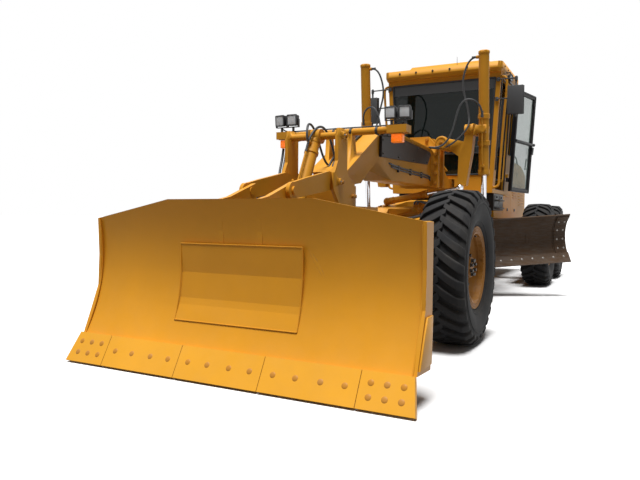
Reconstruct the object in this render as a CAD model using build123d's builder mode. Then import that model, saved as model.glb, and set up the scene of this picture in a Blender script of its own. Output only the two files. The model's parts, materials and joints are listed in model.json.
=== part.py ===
"""Motor grader with a front push blade, full size, millimetres.

+X is the machine's left side, -Y its front and +Z is up.  The origin is on the ground under the middle of
the machine.  A distance called s is measured backwards from the front axle, so y = FRONT_AXLE_Y + s.
"""
import os
from math import asin, atan2, cos, degrees, radians, sin

from build123d import *

os.makedirs("parts", exist_ok=True)

# ---------------------------------------------------------------- driving dimensions
TYRE_RADIUS = 675.0
TYRE_WIDTH = 430.0
RIM_RADIUS = 305.0
RIM_WIDTH = 320.0
TRACK = 2065.0
FRONT_AXLE_Y = -2980.0
WHEELBASE = 6086.0
TANDEM_SPACING = 1522.0
FRAME_WIDTH = 305.0
CAB_TOP = 3326.0
HITCH_S = 4350.0            # articulation pin behind the front axle
REAR_END_S = 8000.0         # rear bumper behind the front axle
RUN_GAP = 0.4               # radial running gap of every pin, shaft and spindle
SEAT_GAP = 0.3              # gap under a piece that stands on another
SIDE_GAP = 5.0              # gap beside an eye between two lugs

# resting pose of the working gear
DRAWBAR_PITCH = 8.0
CIRCLE_TURN = 32.0
SIDE_SHIFT = 200.0
DOOR_OPEN = 166.5

HALF_TRACK = TRACK / 2
AXLE_Z = TYRE_RADIUS
TANDEM_MID_S = WHEELBASE


def at(s):
    """World y of a distance behind the front axle."""
    return FRONT_AXLE_Y + s


def side_points(points):
    """Side-view points (s, z) as sketch points on Plane.YZ."""
    return [(at(s), z) for s, z in points]


def block(x, y, z, mode=Mode.ADD):
    """A box from (low, high) pairs."""
    middle = [(low + high) / 2 for low, high in (x, y, z)]
    with Locations(tuple(middle)):
        Box(x[1] - x[0], y[1] - y[0], z[1] - z[0], mode=mode)


def side_plate(points, x, mode=Mode.ADD):
    """A plate with a side-view outline (y, z), from x[0] to x[1]."""
    with BuildSketch(Plane.YZ.offset(x[0])) as outline:
        with BuildLine():
            Polyline(*points, close=True)
        make_face()
    extrude(outline.sketch, amount=x[1] - x[0], mode=mode)


def front_plate(points, y, mode=Mode.ADD):
    """A plate with a front-view outline (x, z), from y[0] to y[1]."""
    with BuildSketch(Plane.XZ.offset(-y[1])) as outline:
        with BuildLine():
            Polyline(*points, close=True)
        make_face()
    extrude(outline.sketch, amount=y[1] - y[0], mode=mode)


def bar(start, end, radius, mode=Mode.ADD):
    """A round bar between two points."""
    run = Vector(*end) - Vector(*start)
    with Locations(Plane(origin=start, z_dir=run).location):
        Cylinder(radius, run.length, align=(Align.CENTER, Align.CENTER, Align.MIN), mode=mode)


def write(piece, node, place=Location()):
    """Put a finished piece in its resting place and write it as one node."""
    part = piece.part.moved(place)
    part.label = node
    export_step(part, f"parts/{node}.step")


def turned(point, axis, angle):
    """The place that turns a piece by angle (degrees) about an axis through a point."""
    plane = Plane(origin=point, z_dir=axis)
    return plane.location * Rot(0, 0, angle) * plane.location.inverse()


# ================================================================ wheels
TYRE_SHOULDER = 46.0
FLANGE_RADIUS = RIM_RADIUS + 52
HUB_RADIUS = 98.0
SPINDLE_RADIUS = 46.0
STUB_RADIUS = 70.0
FRONT_DISC_X = 40.0         # wheel disc from the tyre's middle plane, outwards
REAR_DISC_X = 10.0


def tyre(name, centre):
    """Tyre ring with bulged side walls, centred on (x, y, z)."""
    half = TYRE_WIDTH / 2
    bead = RIM_RADIUS + 0.3
    bead_half = RIM_WIDTH / 2 - 16.3
    crown = TYRE_RADIUS
    with BuildPart() as ring:
        with BuildSketch(Plane.XZ):
            with BuildLine():
                Polyline((-bead_half, FLANGE_RADIUS + 6), (-bead_half, bead), (bead_half, bead),
                         (bead_half, FLANGE_RADIUS + 6))
                ThreePointArc((bead_half, FLANGE_RADIUS + 6), (half - 18, FLANGE_RADIUS + 62),
                              (half, (bead + crown) / 2))
                ThreePointArc((half, (bead + crown) / 2), (half - 4, crown - 90), (half - 18, crown - 36))
                Line((half - 18, crown - 36), (half - TYRE_SHOULDER, crown - 12))
                ThreePointArc((half - TYRE_SHOULDER, crown - 12), (0, crown), (TYRE_SHOULDER - half, crown - 12))
                Line((TYRE_SHOULDER - half, crown - 12), (18 - half, crown - 36))
                ThreePointArc((18 - half, crown - 36), (4 - half, crown - 90), (-half, (bead + crown) / 2))
                ThreePointArc((-half, (bead + crown) / 2), (18 - half, FLANGE_RADIUS + 62),
                              (-bead_half, FLANGE_RADIUS + 6))
            make_face()
        revolve(axis=Axis.X)
    write(ring, name, Pos(*centre))


def rim(name, centre, outward, disc_x, bore_radius, bore_depth):
    """Rim barrel with flanges, dished disc, and a hub bored from its inner side."""
    half = RIM_WIDTH / 2
    wall = 12.0
    disc = 18.0
    with BuildPart() as wheel:
        with BuildSketch(Plane.XZ):
            with BuildLine():
                Polyline((-half, RIM_RADIUS - wall), (-half, FLANGE_RADIUS), (-half + 14, FLANGE_RADIUS),
                         (-half + 16, RIM_RADIUS), (half - 16, RIM_RADIUS), (half - 14, FLANGE_RADIUS),
                         (half, FLANGE_RADIUS), (half, RIM_RADIUS - wall), (disc_x + 60, RIM_RADIUS - wall),
                         (disc_x + disc, RIM_RADIUS - 70), (disc_x + disc, HUB_RADIUS + 40),
                         (disc_x + disc + 22, HUB_RADIUS + 24), (disc_x + disc + 22, HUB_RADIUS),
                         (disc_x + 84, HUB_RADIUS - 12), (disc_x + 90, 0), (disc_x - 120, 0),
                         (disc_x - 120, HUB_RADIUS), (disc_x, HUB_RADIUS + 20),
                         (disc_x, RIM_RADIUS - 76), (disc_x + 34, RIM_RADIUS - wall), close=True)
            make_face()
        revolve(axis=Axis.X)
        with Locations(Plane.YZ.offset(disc_x - 120).location):
            Cylinder(bore_radius, bore_depth, align=(Align.CENTER, Align.CENTER, Align.MIN), mode=Mode.SUBTRACT)
    turn = Location() if outward > 0 else Rot(0, 0, 180)
    write(wheel, name, Pos(*centre) * turn)


FRONT_BORE_DEPTH = 170.0
REAR_BORE_DEPTH = 170.0
for side, outward in (("left", 1), ("right", -1)):
    x = outward * HALF_TRACK
    front = (x, FRONT_AXLE_Y, AXLE_Z)
    tyre(f"tyre_front_{side}", front)
    rim(f"rim_front_{side}", front, outward, FRONT_DISC_X, SPINDLE_RADIUS + RUN_GAP, FRONT_BORE_DEPTH)
    for row, step in (("mid", -0.5), ("rear", 0.5)):
        centre = (x, at(TANDEM_MID_S + step * TANDEM_SPACING), AXLE_Z)
        tyre(f"tyre_{row}_{side}", centre)
        rim(f"rim_{row}_{side}", centre, outward, REAR_DISC_X, STUB_RADIUS + RUN_GAP, REAR_BORE_DEPTH)

# ================================================================ front frame
BALL_S = 385.0
BALL_Z = 924.0
BALL_RADIUS = 62.0
BALL_GAP = 2.0
AXLE_PIN_Z = 800.0
AXLE_PIN_RADIUS = 50.0
PEDESTAL_S = (-455.0, -300.0)
DECK_Z = (1110.0, 1200.0)
REAR_LUG_S = (180.0, 262.0)
LEAN_BAR_Z = 1020.0
HITCH_PIN_RADIUS = 52.0
HITCH_LUGS_Z = ((800.0, 870.0), (1330.0, 1400.0))
FLOOR_Z = 1640.0
BAR_S = -250.0
BAR_Z = 1870.0

with BuildPart() as front_frame:
    side_plate(side_points([(-495, 1497), (250, 1912), (430, 1985), (1930, 1930), (2700, 1720), (2850, FLOOR_Z - SEAT_GAP),
                            (4080, FLOOR_Z - SEAT_GAP), (4080, 1400), (4180, 1400), (4180, 800), (3770, 800),
                            (3620, 1450), (3000, 1450), (2950, 1500), (664, 1489), (269, 1649), (45, 1526),
                            (-122, 1416), (-455, 1375)]), (-FRAME_WIDTH / 2, FRAME_WIDTH / 2))
    # top plate of the gooseneck, wider than the box below it
    side_plate(side_points([(-520, 1497), (240, 1920), (430, 2000), (1930, 1946), (2690, 1738), (2690, 1722),
                            (1930, 1930), (430, 1984), (250, 1908), (-508, 1486)]), (-190, 190))
    # pedestal, deck and rear lug that carry the front axle
    block((-170, 170), (at(PEDESTAL_S[0]), at(PEDESTAL_S[1])), (640, 1400))
    block((-170, 170), (at(PEDESTAL_S[0]), at(REAR_LUG_S[1])), DECK_Z)
    block((-150, 150), (at(REAR_LUG_S[0]), at(REAR_LUG_S[1])), (640, DECK_Z[1]))
    bar((0, at(PEDESTAL_S[0]), AXLE_PIN_Z), (0, at(REAR_LUG_S[1]), AXLE_PIN_Z), AXLE_PIN_RADIUS)
    # ball that the drawbar hangs on
    bar((0, at(REAR_LUG_S[1] - 10), BALL_Z), (0, at(BALL_S), BALL_Z), 34)
    with Locations((0, at(BALL_S), BALL_Z)):
        Sphere(BALL_RADIUS)
    # saddle that carries the lift arms
    for s in (2080.0, 2290.0):
        front_plate([(-250, 1480), (-250, 1960), (-120, 2110), (120, 2110), (250, 1960), (250, 1480)],
                    (at(s - 30), at(s + 30)))
    # lamp bar across the nose, on two brackets
    bar((-620, at(BAR_S), BAR_Z), (620, at(BAR_S), BAR_Z), 32)
    for x in (-560.0, 560.0):
        block((x - 90, x + 90), (at(BAR_S - 60), at(BAR_S + 70)), (BAR_Z - 34, BAR_Z + 34))
    for x in (-130.0, 90.0):
        side_plate(side_points([(BAR_S - 30, BAR_Z), (BAR_S + 30, BAR_Z), (BAR_S + 80, 1640), (BAR_S - 60, 1585)]),
                   (x, x + 40))
    # hitch lugs round the articulation pin
    for low, high in HITCH_LUGS_Z:
        block((-150, 150), (at(4120), at(HITCH_S)), (low, high))
        with Locations((0, at(HITCH_S), (low + high) / 2)):
            Cylinder(150, high - low)
            Cylinder(HITCH_PIN_RADIUS + RUN_GAP, high - low, mode=Mode.SUBTRACT)
write(front_frame, "front_frame")

# ---------------------------------------------------------------- black side panels on the gooseneck
PANEL_THICKNESS = 30.0
with BuildPart() as side_panels:
    side_plate(side_points([(318, 1700), (318, 1900), (430, 1960), (1900, 1905), (1960, 1880), (1830, 1745)]),
               (FRAME_WIDTH / 2 + 0.3, FRAME_WIDTH / 2 + 0.3 + PANEL_THICKNESS))
    mirror(about=Plane.YZ)
write(side_panels, "side_panels")

# ================================================================ front axle
LEAN_X = 640.0
LEAN_Z = 600.0
LEAN_EYE = 68.0
LEAN_EYE_WIDTH = 140.0
LEAN_PIN_RADIUS = 34.0
AXLE_HALF_DEPTH = 72.0

with BuildPart() as front_axle:
    front_plate([(0, 925), (300, 915), (560, 700), (LEAN_X, LEAN_Z + 66), (LEAN_X, LEAN_Z - 66), (560, 545),
                 (260, 690), (0, 690)], (at(-AXLE_HALF_DEPTH), at(AXLE_HALF_DEPTH)))
    mirror(about=Plane.YZ)
    for x in (-LEAN_X, LEAN_X):
        bar((x, at(-LEAN_EYE_WIDTH / 2), LEAN_Z), (x, at(LEAN_EYE_WIDTH / 2), LEAN_Z), LEAN_EYE)
        bar((x, at(-AXLE_HALF_DEPTH - 1), LEAN_Z), (x, at(AXLE_HALF_DEPTH + 1), LEAN_Z), LEAN_PIN_RADIUS + RUN_GAP,
            Mode.SUBTRACT)
    bar((0, at(-200), AXLE_PIN_Z), (0, at(160), AXLE_PIN_Z), 96)
    bar((0, at(-300), AXLE_PIN_Z), (0, at(300), AXLE_PIN_Z), AXLE_PIN_RADIUS + RUN_GAP, Mode.SUBTRACT)
write(front_axle, "front_axle")

# ---------------------------------------------------------------- lean brackets, knuckles and their bars
KINGPIN_X = 800.0
KINGPIN_RADIUS = 32.0
KNUCKLE_RADIUS = 58.0
BOSS_Z = (590.0, 760.0)
EAR_THICKNESS = 58.0
LEAN_CHEEK_Y = (AXLE_HALF_DEPTH + SIDE_GAP, AXLE_HALF_DEPTH + SIDE_GAP + 32)
ARM_S = 285.0
ARM_X = 720.0
ARM_Z = (478.0, 512.0)


def lean_bracket(name, outward):
    """Bracket that leans on the axle end and carries the kingpin boss."""
    web = (LEAN_X + LEAN_EYE + 5, LEAN_X + LEAN_EYE + 25)
    with BuildPart() as bracket:
        for low, high in (LEAN_CHEEK_Y, (-LEAN_CHEEK_Y[1], -LEAN_CHEEK_Y[0])):
            front_plate([(LEAN_X - 62, LEAN_Z - 50), (LEAN_X - 62, LEAN_Z + 60), (LEAN_X - 46, LEAN_BAR_Z - 60),
                         (LEAN_X - 46, LEAN_BAR_Z + 46), (LEAN_X + 46, LEAN_BAR_Z + 46), (web[1], BOSS_Z[1] + 90),
                         (web[1], BOSS_Z[0] - 50), (LEAN_X, LEAN_Z - 72)], (at(low), at(high)))
        block(web, (at(-LEAN_CHEEK_Y[1]), at(LEAN_CHEEK_Y[1])), (BOSS_Z[0] - 40, BOSS_Z[1] + 80))
        block((web[0], KINGPIN_X), (at(-KNUCKLE_RADIUS), at(KNUCKLE_RADIUS)), BOSS_Z)
        bar((KINGPIN_X, at(0), BOSS_Z[0]), (KINGPIN_X, at(0), BOSS_Z[1]), KNUCKLE_RADIUS)
        bar((KINGPIN_X, at(0), BOSS_Z[0] - EAR_THICKNESS - 16), (KINGPIN_X, at(0), BOSS_Z[1] + EAR_THICKNESS + 16),
            KINGPIN_RADIUS)
        bar((LEAN_X, at(-LEAN_CHEEK_Y[1] - 10), LEAN_Z), (LEAN_X, at(LEAN_CHEEK_Y[1] + 10), LEAN_Z), LEAN_PIN_RADIUS)
        bar((LEAN_X, at(-LEAN_CHEEK_Y[1] - 8), LEAN_BAR_Z), (LEAN_X, at(LEAN_CHEEK_Y[1] + 8), LEAN_BAR_Z), 26)
        if outward < 0:
            mirror(about=Plane.YZ, mode=Mode.REPLACE)
    write(bracket, name)


def knuckle(name, outward):
    """Steering knuckle: two ears on the kingpin, wheel spindle and steering arm."""
    ears = ((BOSS_Z[0] - 4 - EAR_THICKNESS, BOSS_Z[0] - 4), (BOSS_Z[1] + 4, BOSS_Z[1] + 4 + EAR_THICKNESS))
    back = KINGPIN_X + KNUCKLE_RADIUS + 5
    with BuildPart() as piece:
        for low, high in ears:
            bar((KINGPIN_X, at(0), low), (KINGPIN_X, at(0), high), KNUCKLE_RADIUS)
            block((KINGPIN_X, back + 24), (at(-KNUCKLE_RADIUS), at(KNUCKLE_RADIUS)), (low, high))
        block((back, back + 24), (at(-85), at(85)), (ears[0][0], ears[1][1]))
        bar((back, at(0), AXLE_Z), (HALF_TRACK + FRONT_DISC_X - 125, at(0), AXLE_Z), 70)
        bar((back, at(0), AXLE_Z), (HALF_TRACK + FRONT_DISC_X + 44, at(0), AXLE_Z), SPINDLE_RADIUS)
        with BuildSketch(Plane.XY.offset(ARM_Z[0])) as arm:
            with BuildLine():
                Polyline((KINGPIN_X + 50, at(20)), (KINGPIN_X + 15, at(150)), (ARM_X + 34, at(ARM_S)),
                         (ARM_X - 34, at(ARM_S)), (KINGPIN_X - 50, at(130)), (KINGPIN_X - 50, at(0)), close=True)
            make_face()
        extrude(arm.sketch, amount=ARM_Z[1] - ARM_Z[0])
        bar((KINGPIN_X, at(0), ARM_Z[0]), (KINGPIN_X, at(0), ears[0][0] + 1), 52)
        with Locations((ARM_X, at(ARM_S), (ARM_Z[0] + ARM_Z[1]) / 2)):
            Cylinder(34, ARM_Z[1] - ARM_Z[0])
        bar((KINGPIN_X, at(0), ARM_Z[0] - 1), (KINGPIN_X, at(0), ears[1][1] + 1), KINGPIN_RADIUS + RUN_GAP,
            Mode.SUBTRACT)
        bar((ARM_X, at(ARM_S), ARM_Z[0]), (ARM_X, at(ARM_S), ARM_Z[1]), 14 + RUN_GAP, Mode.SUBTRACT)
        if outward < 0:
            mirror(about=Plane.YZ, mode=Mode.REPLACE)
    write(piece, name)


for side, outward in (("left", 1), ("right", -1)):
    lean_bracket(f"lean_bracket_{side}", outward)
    knuckle(f"knuckle_{side}", outward)

with BuildPart() as lean_bar:
    bar((-LEAN_X, at(0), LEAN_BAR_Z), (LEAN_X, at(0), LEAN_BAR_Z), 30)
    for x in (-LEAN_X, LEAN_X):
        bar((x, at(-66), LEAN_BAR_Z), (x, at(66), LEAN_BAR_Z), 46)
        bar((x, at(-66), LEAN_BAR_Z), (x, at(66), LEAN_BAR_Z), 26 + RUN_GAP, Mode.SUBTRACT)
write(lean_bar, "lean_bar")

TIE_Z = ARM_Z[0] - 50
with BuildPart() as tie_rod_stud:
    bar((ARM_X, at(ARM_S), TIE_Z), (ARM_X, at(ARM_S), ARM_Z[1] + 14), 14)
    with Locations((ARM_X, at(ARM_S), TIE_Z)):
        Sphere(24)
    bar((ARM_X, at(ARM_S), ARM_Z[1] + 2), (ARM_X, at(ARM_S), ARM_Z[1] + 16), 24)
write(tie_rod_stud, "tie_rod_stud")

with BuildPart() as tie_rod:
    bar((-ARM_X, at(ARM_S), TIE_Z), (ARM_X, at(ARM_S), TIE_Z), 26)
    for x in (-ARM_X, ARM_X):
        bar((x, at(ARM_S), TIE_Z - 34), (x, at(ARM_S), TIE_Z + 26), 38)
    with Locations((ARM_X, at(ARM_S), TIE_Z)):
        Sphere(24 + RUN_GAP, mode=Mode.SUBTRACT)
    bar((ARM_X, at(ARM_S), TIE_Z), (ARM_X, at(ARM_S), TIE_Z + 33), 24 + RUN_GAP, Mode.SUBTRACT)
write(tie_rod, "tie_rod")

# ================================================================ rear frame
TANDEM_X = (590.0, 796.0)
CASE_RADIUS = 215.0
HITCH_TONGUE_Z = (HITCH_LUGS_Z[0][1] + 6, HITCH_LUGS_Z[1][0] - 6)

with BuildPart() as rear_frame:
    # tongue on the articulation pin
    with Locations((0, at(HITCH_S), (HITCH_TONGUE_Z[0] + HITCH_TONGUE_Z[1]) / 2)):
        Cylinder(125, HITCH_TONGUE_Z[1] - HITCH_TONGUE_Z[0])
    block((-110, 110), (at(HITCH_S), at(4625)), HITCH_TONGUE_Z)
    bar((0, at(HITCH_S), HITCH_LUGS_Z[0][0] - 30), (0, at(HITCH_S), HITCH_LUGS_Z[1][1] + 30), HITCH_PIN_RADIUS)
    # two side rails and cross members
    for x in (-360.0, 280.0):
        block((x, x + 80), (at(4600), at(7880)), (760, 1110))
    for s, depth in ((4600.0, 60.0), (5380.0, 60.0), (TANDEM_MID_S - 150, 300.0), (7200.0, 60.0), (7820.0, 60.0)):
        block((-360, 360), (at(s), at(s + depth)), (760, 1110))
    # rear axle housing and the collars of the tandem cases
    bar((-TANDEM_X[0] + SEAT_GAP, at(TANDEM_MID_S), AXLE_Z + 90), (TANDEM_X[0] - SEAT_GAP, at(TANDEM_MID_S), AXLE_Z + 90), 165)
    # rear bumper with the tow lugs
    block((-520, 520), (at(7880), at(REAR_END_S)), (700, 1060))
    for z in (740.0, 900.0):
        block((-110, 110), (at(REAR_END_S) - 10, at(REAR_END_S) + 110), (z, z + 45))
    bar((0, at(REAR_END_S) + 45, 730), (0, at(REAR_END_S) + 45, 955), 27, Mode.SUBTRACT)
write(rear_frame, "rear_frame")

with BuildPart() as tandem_cases:
    with BuildSketch(Plane.YZ.offset(TANDEM_X[0])) as case:
        with Locations((at(TANDEM_MID_S), AXLE_Z)):
            SlotCenterToCenter(TANDEM_SPACING, 2 * CASE_RADIUS)
        with Locations((at(TANDEM_MID_S), AXLE_Z + 60)):
            Circle(270)
    extrude(case.sketch, amount=TANDEM_X[1] - TANDEM_X[0])
    for step in (-0.5, 0.5):
        y = at(TANDEM_MID_S + step * TANDEM_SPACING)
        bar((TANDEM_X[1] - 10, y, AXLE_Z), (HALF_TRACK + REAR_DISC_X - 125, y, AXLE_Z), 105)
        bar((TANDEM_X[1] - 10, y, AXLE_Z), (HALF_TRACK + REAR_DISC_X + 44, y, AXLE_Z), STUB_RADIUS)
    mirror(about=Plane.YZ)
write(tandem_cases, "tandem_cases")

HOOD_HALF = 420.0
HOOD_Z = (1110.0 + SEAT_GAP, 2180.0)
HOOD_S = (4640.0, 7860.0)
HOOD_WALL = 20.0
HOOD_DOORS = ((4760.0, 5460.0), (5500.0, 6200.0), (6240.0, 6940.0))
with BuildPart() as engine_hood:
    hood_side = side_points([(HOOD_S[0], HOOD_Z[0]), (HOOD_S[0], HOOD_Z[1]), (7300, HOOD_Z[1] - 40),
                             (HOOD_S[1], HOOD_Z[1] - 190), (HOOD_S[1], HOOD_Z[0])])
    side_plate(hood_side, (-HOOD_HALF, HOOD_HALF))
    inner = side_points([(HOOD_S[0] + HOOD_WALL, HOOD_Z[0] - 1), (HOOD_S[0] + HOOD_WALL, HOOD_Z[1] - HOOD_WALL),
                         (7290, HOOD_Z[1] - 40 - HOOD_WALL), (HOOD_S[1] - HOOD_WALL, HOOD_Z[1] - 205),
                         (HOOD_S[1] - HOOD_WALL, HOOD_Z[0] - 1)])
    side_plate(inner, (HOOD_WALL - HOOD_HALF, HOOD_HALF - HOOD_WALL), Mode.SUBTRACT)
    # doors set in the sides, one pair with louvres
    for s_low, s_high in HOOD_DOORS:
        for flip in (1, -1):
            block(sorted((flip * (HOOD_HALF - 6), flip * (HOOD_HALF + 1))), (at(s_low), at(s_high)), (1190, 1960), Mode.SUBTRACT)
            block(sorted((flip * (HOOD_HALF - 7), flip * (HOOD_HALF - 1))), (at(s_low + 12), at(s_high - 12)), (1202, 1948))
    # radiator opening at the back
    block((-380, 380), (at(HOOD_S[1] - HOOD_WALL - 1), at(HOOD_S[1] + 1)), (1200, 1930), Mode.SUBTRACT)
    for z in range(1235, 1925, 52):
        side_plate([(at(HOOD_S[1] - 18), z), (at(HOOD_S[1] - 2), z - 16), (at(HOOD_S[1] - 2), z - 12),
                    (at(HOOD_S[1] - 18), z + 4)], (-381, 381))
    block((-8, 8), (at(HOOD_S[1] - 19), at(HOOD_S[1] - 4)), (1199, 1931))
write(engine_hood, "engine_hood")

with BuildPart() as engine_block:
    block((-300, 300), (at(5300), at(6900)), (1110, 1900))
write(engine_block, "engine_block")

EXHAUST = (5900.0, 95.0)             # s and radius where it meets the hood
CLEANER = (5400.0, 60.0)


def hood_top(s):
    """Height of the hood's top ahead of its break."""
    return HOOD_Z[1] - 40 * (s - HOOD_S[0]) / (7300 - HOOD_S[0])


with BuildPart() as exhaust:
    for (s, radius), top in ((EXHAUST, 2620), (CLEANER, 2430)):
        bar((0, at(s), hood_top(s - radius) + SEAT_GAP), (0, at(s), top), radius)
    bar((0, at(EXHAUST[0]), 2600), (0, at(EXHAUST[0]), 3165), 52)
    bar((0, at(CLEANER[0]), 2420), (0, at(CLEANER[0]), 2600), 125)
write(exhaust, "exhaust")

# ================================================================ cab
CAB_S = (3050.0, 4230.0)
CAB_Z = (1450.0, 3060.0)
CAB_HALF_BOTTOM = 710.0
CAB_HALF_TOP = 800.0
CAB_WALL = 45.0
DOORWAY_S = (3200.0, 3900.0)
DOOR_Z = (1500.0, 3000.0)
SIDE_WINDOWS = (((DOORWAY_S[1] + 70, CAB_S[1] - 60), (2050, 2950)), ((CAB_S[0] + 55, DOORWAY_S[0] - 42), (1760, 2960)))
DOOR_GAP = 6.0
BOX_LOW_Z = 1215.0
HINGE_OUT = 26.0
HINGE_S = DOORWAY_S[1] + 4
STRAP_Z = (1640.0, 2820.0)
STRAP_HEIGHT = 60.0
WALL_LEAN = degrees(atan2(CAB_HALF_TOP - CAB_HALF_BOTTOM, CAB_Z[1] - CAB_Z[0]))


def wall_x(z):
    """Outer face of the cab's side wall at a height."""
    return CAB_HALF_BOTTOM + (z - CAB_Z[0]) * (CAB_HALF_TOP - CAB_HALF_BOTTOM) / (CAB_Z[1] - CAB_Z[0])


def cab_section(inset, low, high):
    """Front-view outline of the cab, moved in by inset."""
    return [(-wall_x(low) + inset, low), (wall_x(low) - inset, low), (wall_x(high) - inset, high),
            (-wall_x(high) + inset, high)]


with BuildPart() as cab_shell:
    front_plate(cab_section(0, *CAB_Z), (at(CAB_S[0]), at(CAB_S[1])))
    front_plate(cab_section(CAB_WALL, FLOOR_Z + 20, CAB_Z[1] + 1),
                (at(CAB_S[0] + CAB_WALL), at(CAB_S[1] - CAB_WALL)), Mode.SUBTRACT)
    front_plate(cab_section(CAB_WALL, CAB_Z[0] - 1, FLOOR_Z),
                (at(CAB_S[0] + CAB_WALL), at(CAB_S[1] - CAB_WALL)), Mode.SUBTRACT)
    # tunnel for the frame
    block((-FRAME_WIDTH / 2 - 40, FRAME_WIDTH / 2 + 40), (at(CAB_S[0] - 5), at(CAB_S[1] + 5)),
          (CAB_Z[0] - 1, FLOOR_Z), Mode.SUBTRACT)
    # windscreen, rear window, doorways and quarter windows
    front_plate(cab_section(70, 1700, 2990), (at(CAB_S[0] - 5), at(CAB_S[0] + CAB_WALL + 5)), Mode.SUBTRACT)
    front_plate(cab_section(90, 2050, 2950), (at(CAB_S[1] - CAB_WALL - 5), at(CAB_S[1] + 5)), Mode.SUBTRACT)
    block((-900, 900), (at(DOORWAY_S[0]), at(DOORWAY_S[1])), DOOR_Z, Mode.SUBTRACT)
    for window_s, window_z in SIDE_WINDOWS:
        block((-900, 900), (at(window_s[0]), at(window_s[1])), window_z, Mode.SUBTRACT)
    # knuckles that carry the doors, each above a strap of the door
    for z in STRAP_Z:
        low, high = z + STRAP_HEIGHT + 1.3, z + STRAP_HEIGHT + 50
        for flip in (1, -1):
            x = [flip * (wall_x(low) - 12), flip * (wall_x(low) + HINGE_OUT)]
            block(sorted(x), (at(HINGE_S) - 4, at(HINGE_S) + 40), (low, high))
            bar((flip * (wall_x(low) + HINGE_OUT), at(HINGE_S), low), (flip * (wall_x(high) + HINGE_OUT), at(HINGE_S), high),
                14)
write(cab_shell, "cab_shell")

with BuildPart() as service_boxes:
    for flip in (1, -1):
        block(sorted((flip * 400, flip * 690)), (at(3260), at(3960)), (BOX_LOW_Z, CAB_Z[0] - SEAT_GAP))
        # two treads on the outer side
        for z in (BOX_LOW_Z + 20, BOX_LOW_Z + 130):
            block(sorted((flip * 689, flip * 760)), (at(3330), at(3700)), (z, z + 14))
write(service_boxes, "service_boxes")

GLASS = 8.0
with BuildPart() as cab_glass:
    front_plate(cab_section(70.5, 1700.5, 2989.5), (at(CAB_S[0] + 12), at(CAB_S[0] + 12 + GLASS)))
    front_plate(cab_section(90.5, 2050.5, 2949.5), (at(CAB_S[1] - 12 - GLASS), at(CAB_S[1] - 12)))
    for window_s, window_z in SIDE_WINDOWS:
        low, high = window_z[0] + 0.5, window_z[1] - 0.5
        pane = [(wall_x(low) - 20, low), (wall_x(high) - 20, high), (wall_x(high) - 20 - GLASS, high),
                (wall_x(low) - 20 - GLASS, low)]
        for flip in (1, -1):
            front_plate([(flip * x, z) for x, z in pane], (at(window_s[0] + 0.5), at(window_s[1] - 0.5)))
write(cab_glass, "cab_glass")

ROOF_Z = CAB_Z[1] + 0.3
ROOF_EDGE = 130.0                    # height of the roof's edge
with BuildPart() as cab_roof:
    middle_y = at((CAB_S[0] + CAB_S[1]) / 2)
    # lower edge drawn in, then the fascia, then a low crown
    for low, high, width, length, radius, taper in (
            (0, 50, 2 * CAB_HALF_TOP + 10, CAB_S[1] - CAB_S[0] + 120, 40, -24),
            (50, ROOF_EDGE, 2 * CAB_HALF_TOP + 52, CAB_S[1] - CAB_S[0] + 164, 60, 0),
            (ROOF_EDGE, CAB_TOP - ROOF_Z, 2 * CAB_HALF_TOP - 300, CAB_S[1] - CAB_S[0] - 330, 60, 35)):
        with BuildSketch(Plane.XY.offset(ROOF_Z + low)) as tier:
            with Locations((0, middle_y + (70 if taper > 0 else 0))):
                RectangleRounded(width, length, radius)
        extrude(tier.sketch, amount=high - low, taper=taper)
write(cab_roof, "cab_roof")

# ---------------------------------------------------------------- doors
DOOR_THICKNESS = 40.0
DOOR_RAIL = 55.0
HINGE_AXIS = (sin(radians(WALL_LEAN)), 0, cos(radians(WALL_LEAN)))
HINGE_POINT = (wall_x(DOOR_Z[0]) + HINGE_OUT, at(HINGE_S), DOOR_Z[0])


def door_outline(inset, depth):
    """Section of the door across the machine, between two depths below the wall's outer face."""
    low, high = DOOR_Z[0] + DOOR_GAP + inset, DOOR_Z[1] - DOOR_GAP - inset
    return [(wall_x(low) - depth[0], low), (wall_x(high) - depth[0], high), (wall_x(high) - depth[1], high),
            (wall_x(low) - depth[1], low)]


def door(name, mirrored, place):
    """Door frame with its handle bar, and its glass."""
    s_low, s_high = DOORWAY_S[0] + DOOR_GAP, DOORWAY_S[1] - DOOR_GAP
    with BuildPart() as leaf:
        front_plate(door_outline(0, (0, DOOR_THICKNESS)), (at(s_low), at(s_high)))
        front_plate(door_outline(DOOR_RAIL, (-1, DOOR_THICKNESS + 1)), (at(s_low + DOOR_RAIL), at(s_high - DOOR_RAIL)),
                    Mode.SUBTRACT)
        block((wall_x(2250) - 46, wall_x(2250) - 18), (at(s_low + 20), at(s_high - 20)), (2230, 2275))
        # hinge straps out to the hinge line
        for z in STRAP_Z:
            block((wall_x(z) - 20, wall_x(z) + HINGE_OUT), (at(s_high - 54), at(HINGE_S - 16)), (z, z + STRAP_HEIGHT))
            foot = Vector(wall_x(z) + HINGE_OUT, at(HINGE_S), z)
            bar(tuple(foot), tuple(foot + Vector(*HINGE_AXIS) * STRAP_HEIGHT), 14)
            block((wall_x(z) + HINGE_OUT - 12, wall_x(z) + HINGE_OUT), (at(HINGE_S - 18), at(HINGE_S)), (z, z + STRAP_HEIGHT))
        if mirrored:
            mirror(about=Plane.YZ, mode=Mode.REPLACE)
    write(leaf, name, place)
    with BuildPart() as glazing:
        front_plate(door_outline(DOOR_RAIL + 0.5, (8, 8 + GLASS)), (at(s_low + DOOR_RAIL + 0.5), at(s_high - DOOR_RAIL - 0.5)))
        if mirrored:
            mirror(about=Plane.YZ, mode=Mode.REPLACE)
    write(glazing, f"{name}_glass", place)


door("door_left", False, turned(HINGE_POINT, HINGE_AXIS, DOOR_OPEN))
door("door_right", True, Location())

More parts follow.
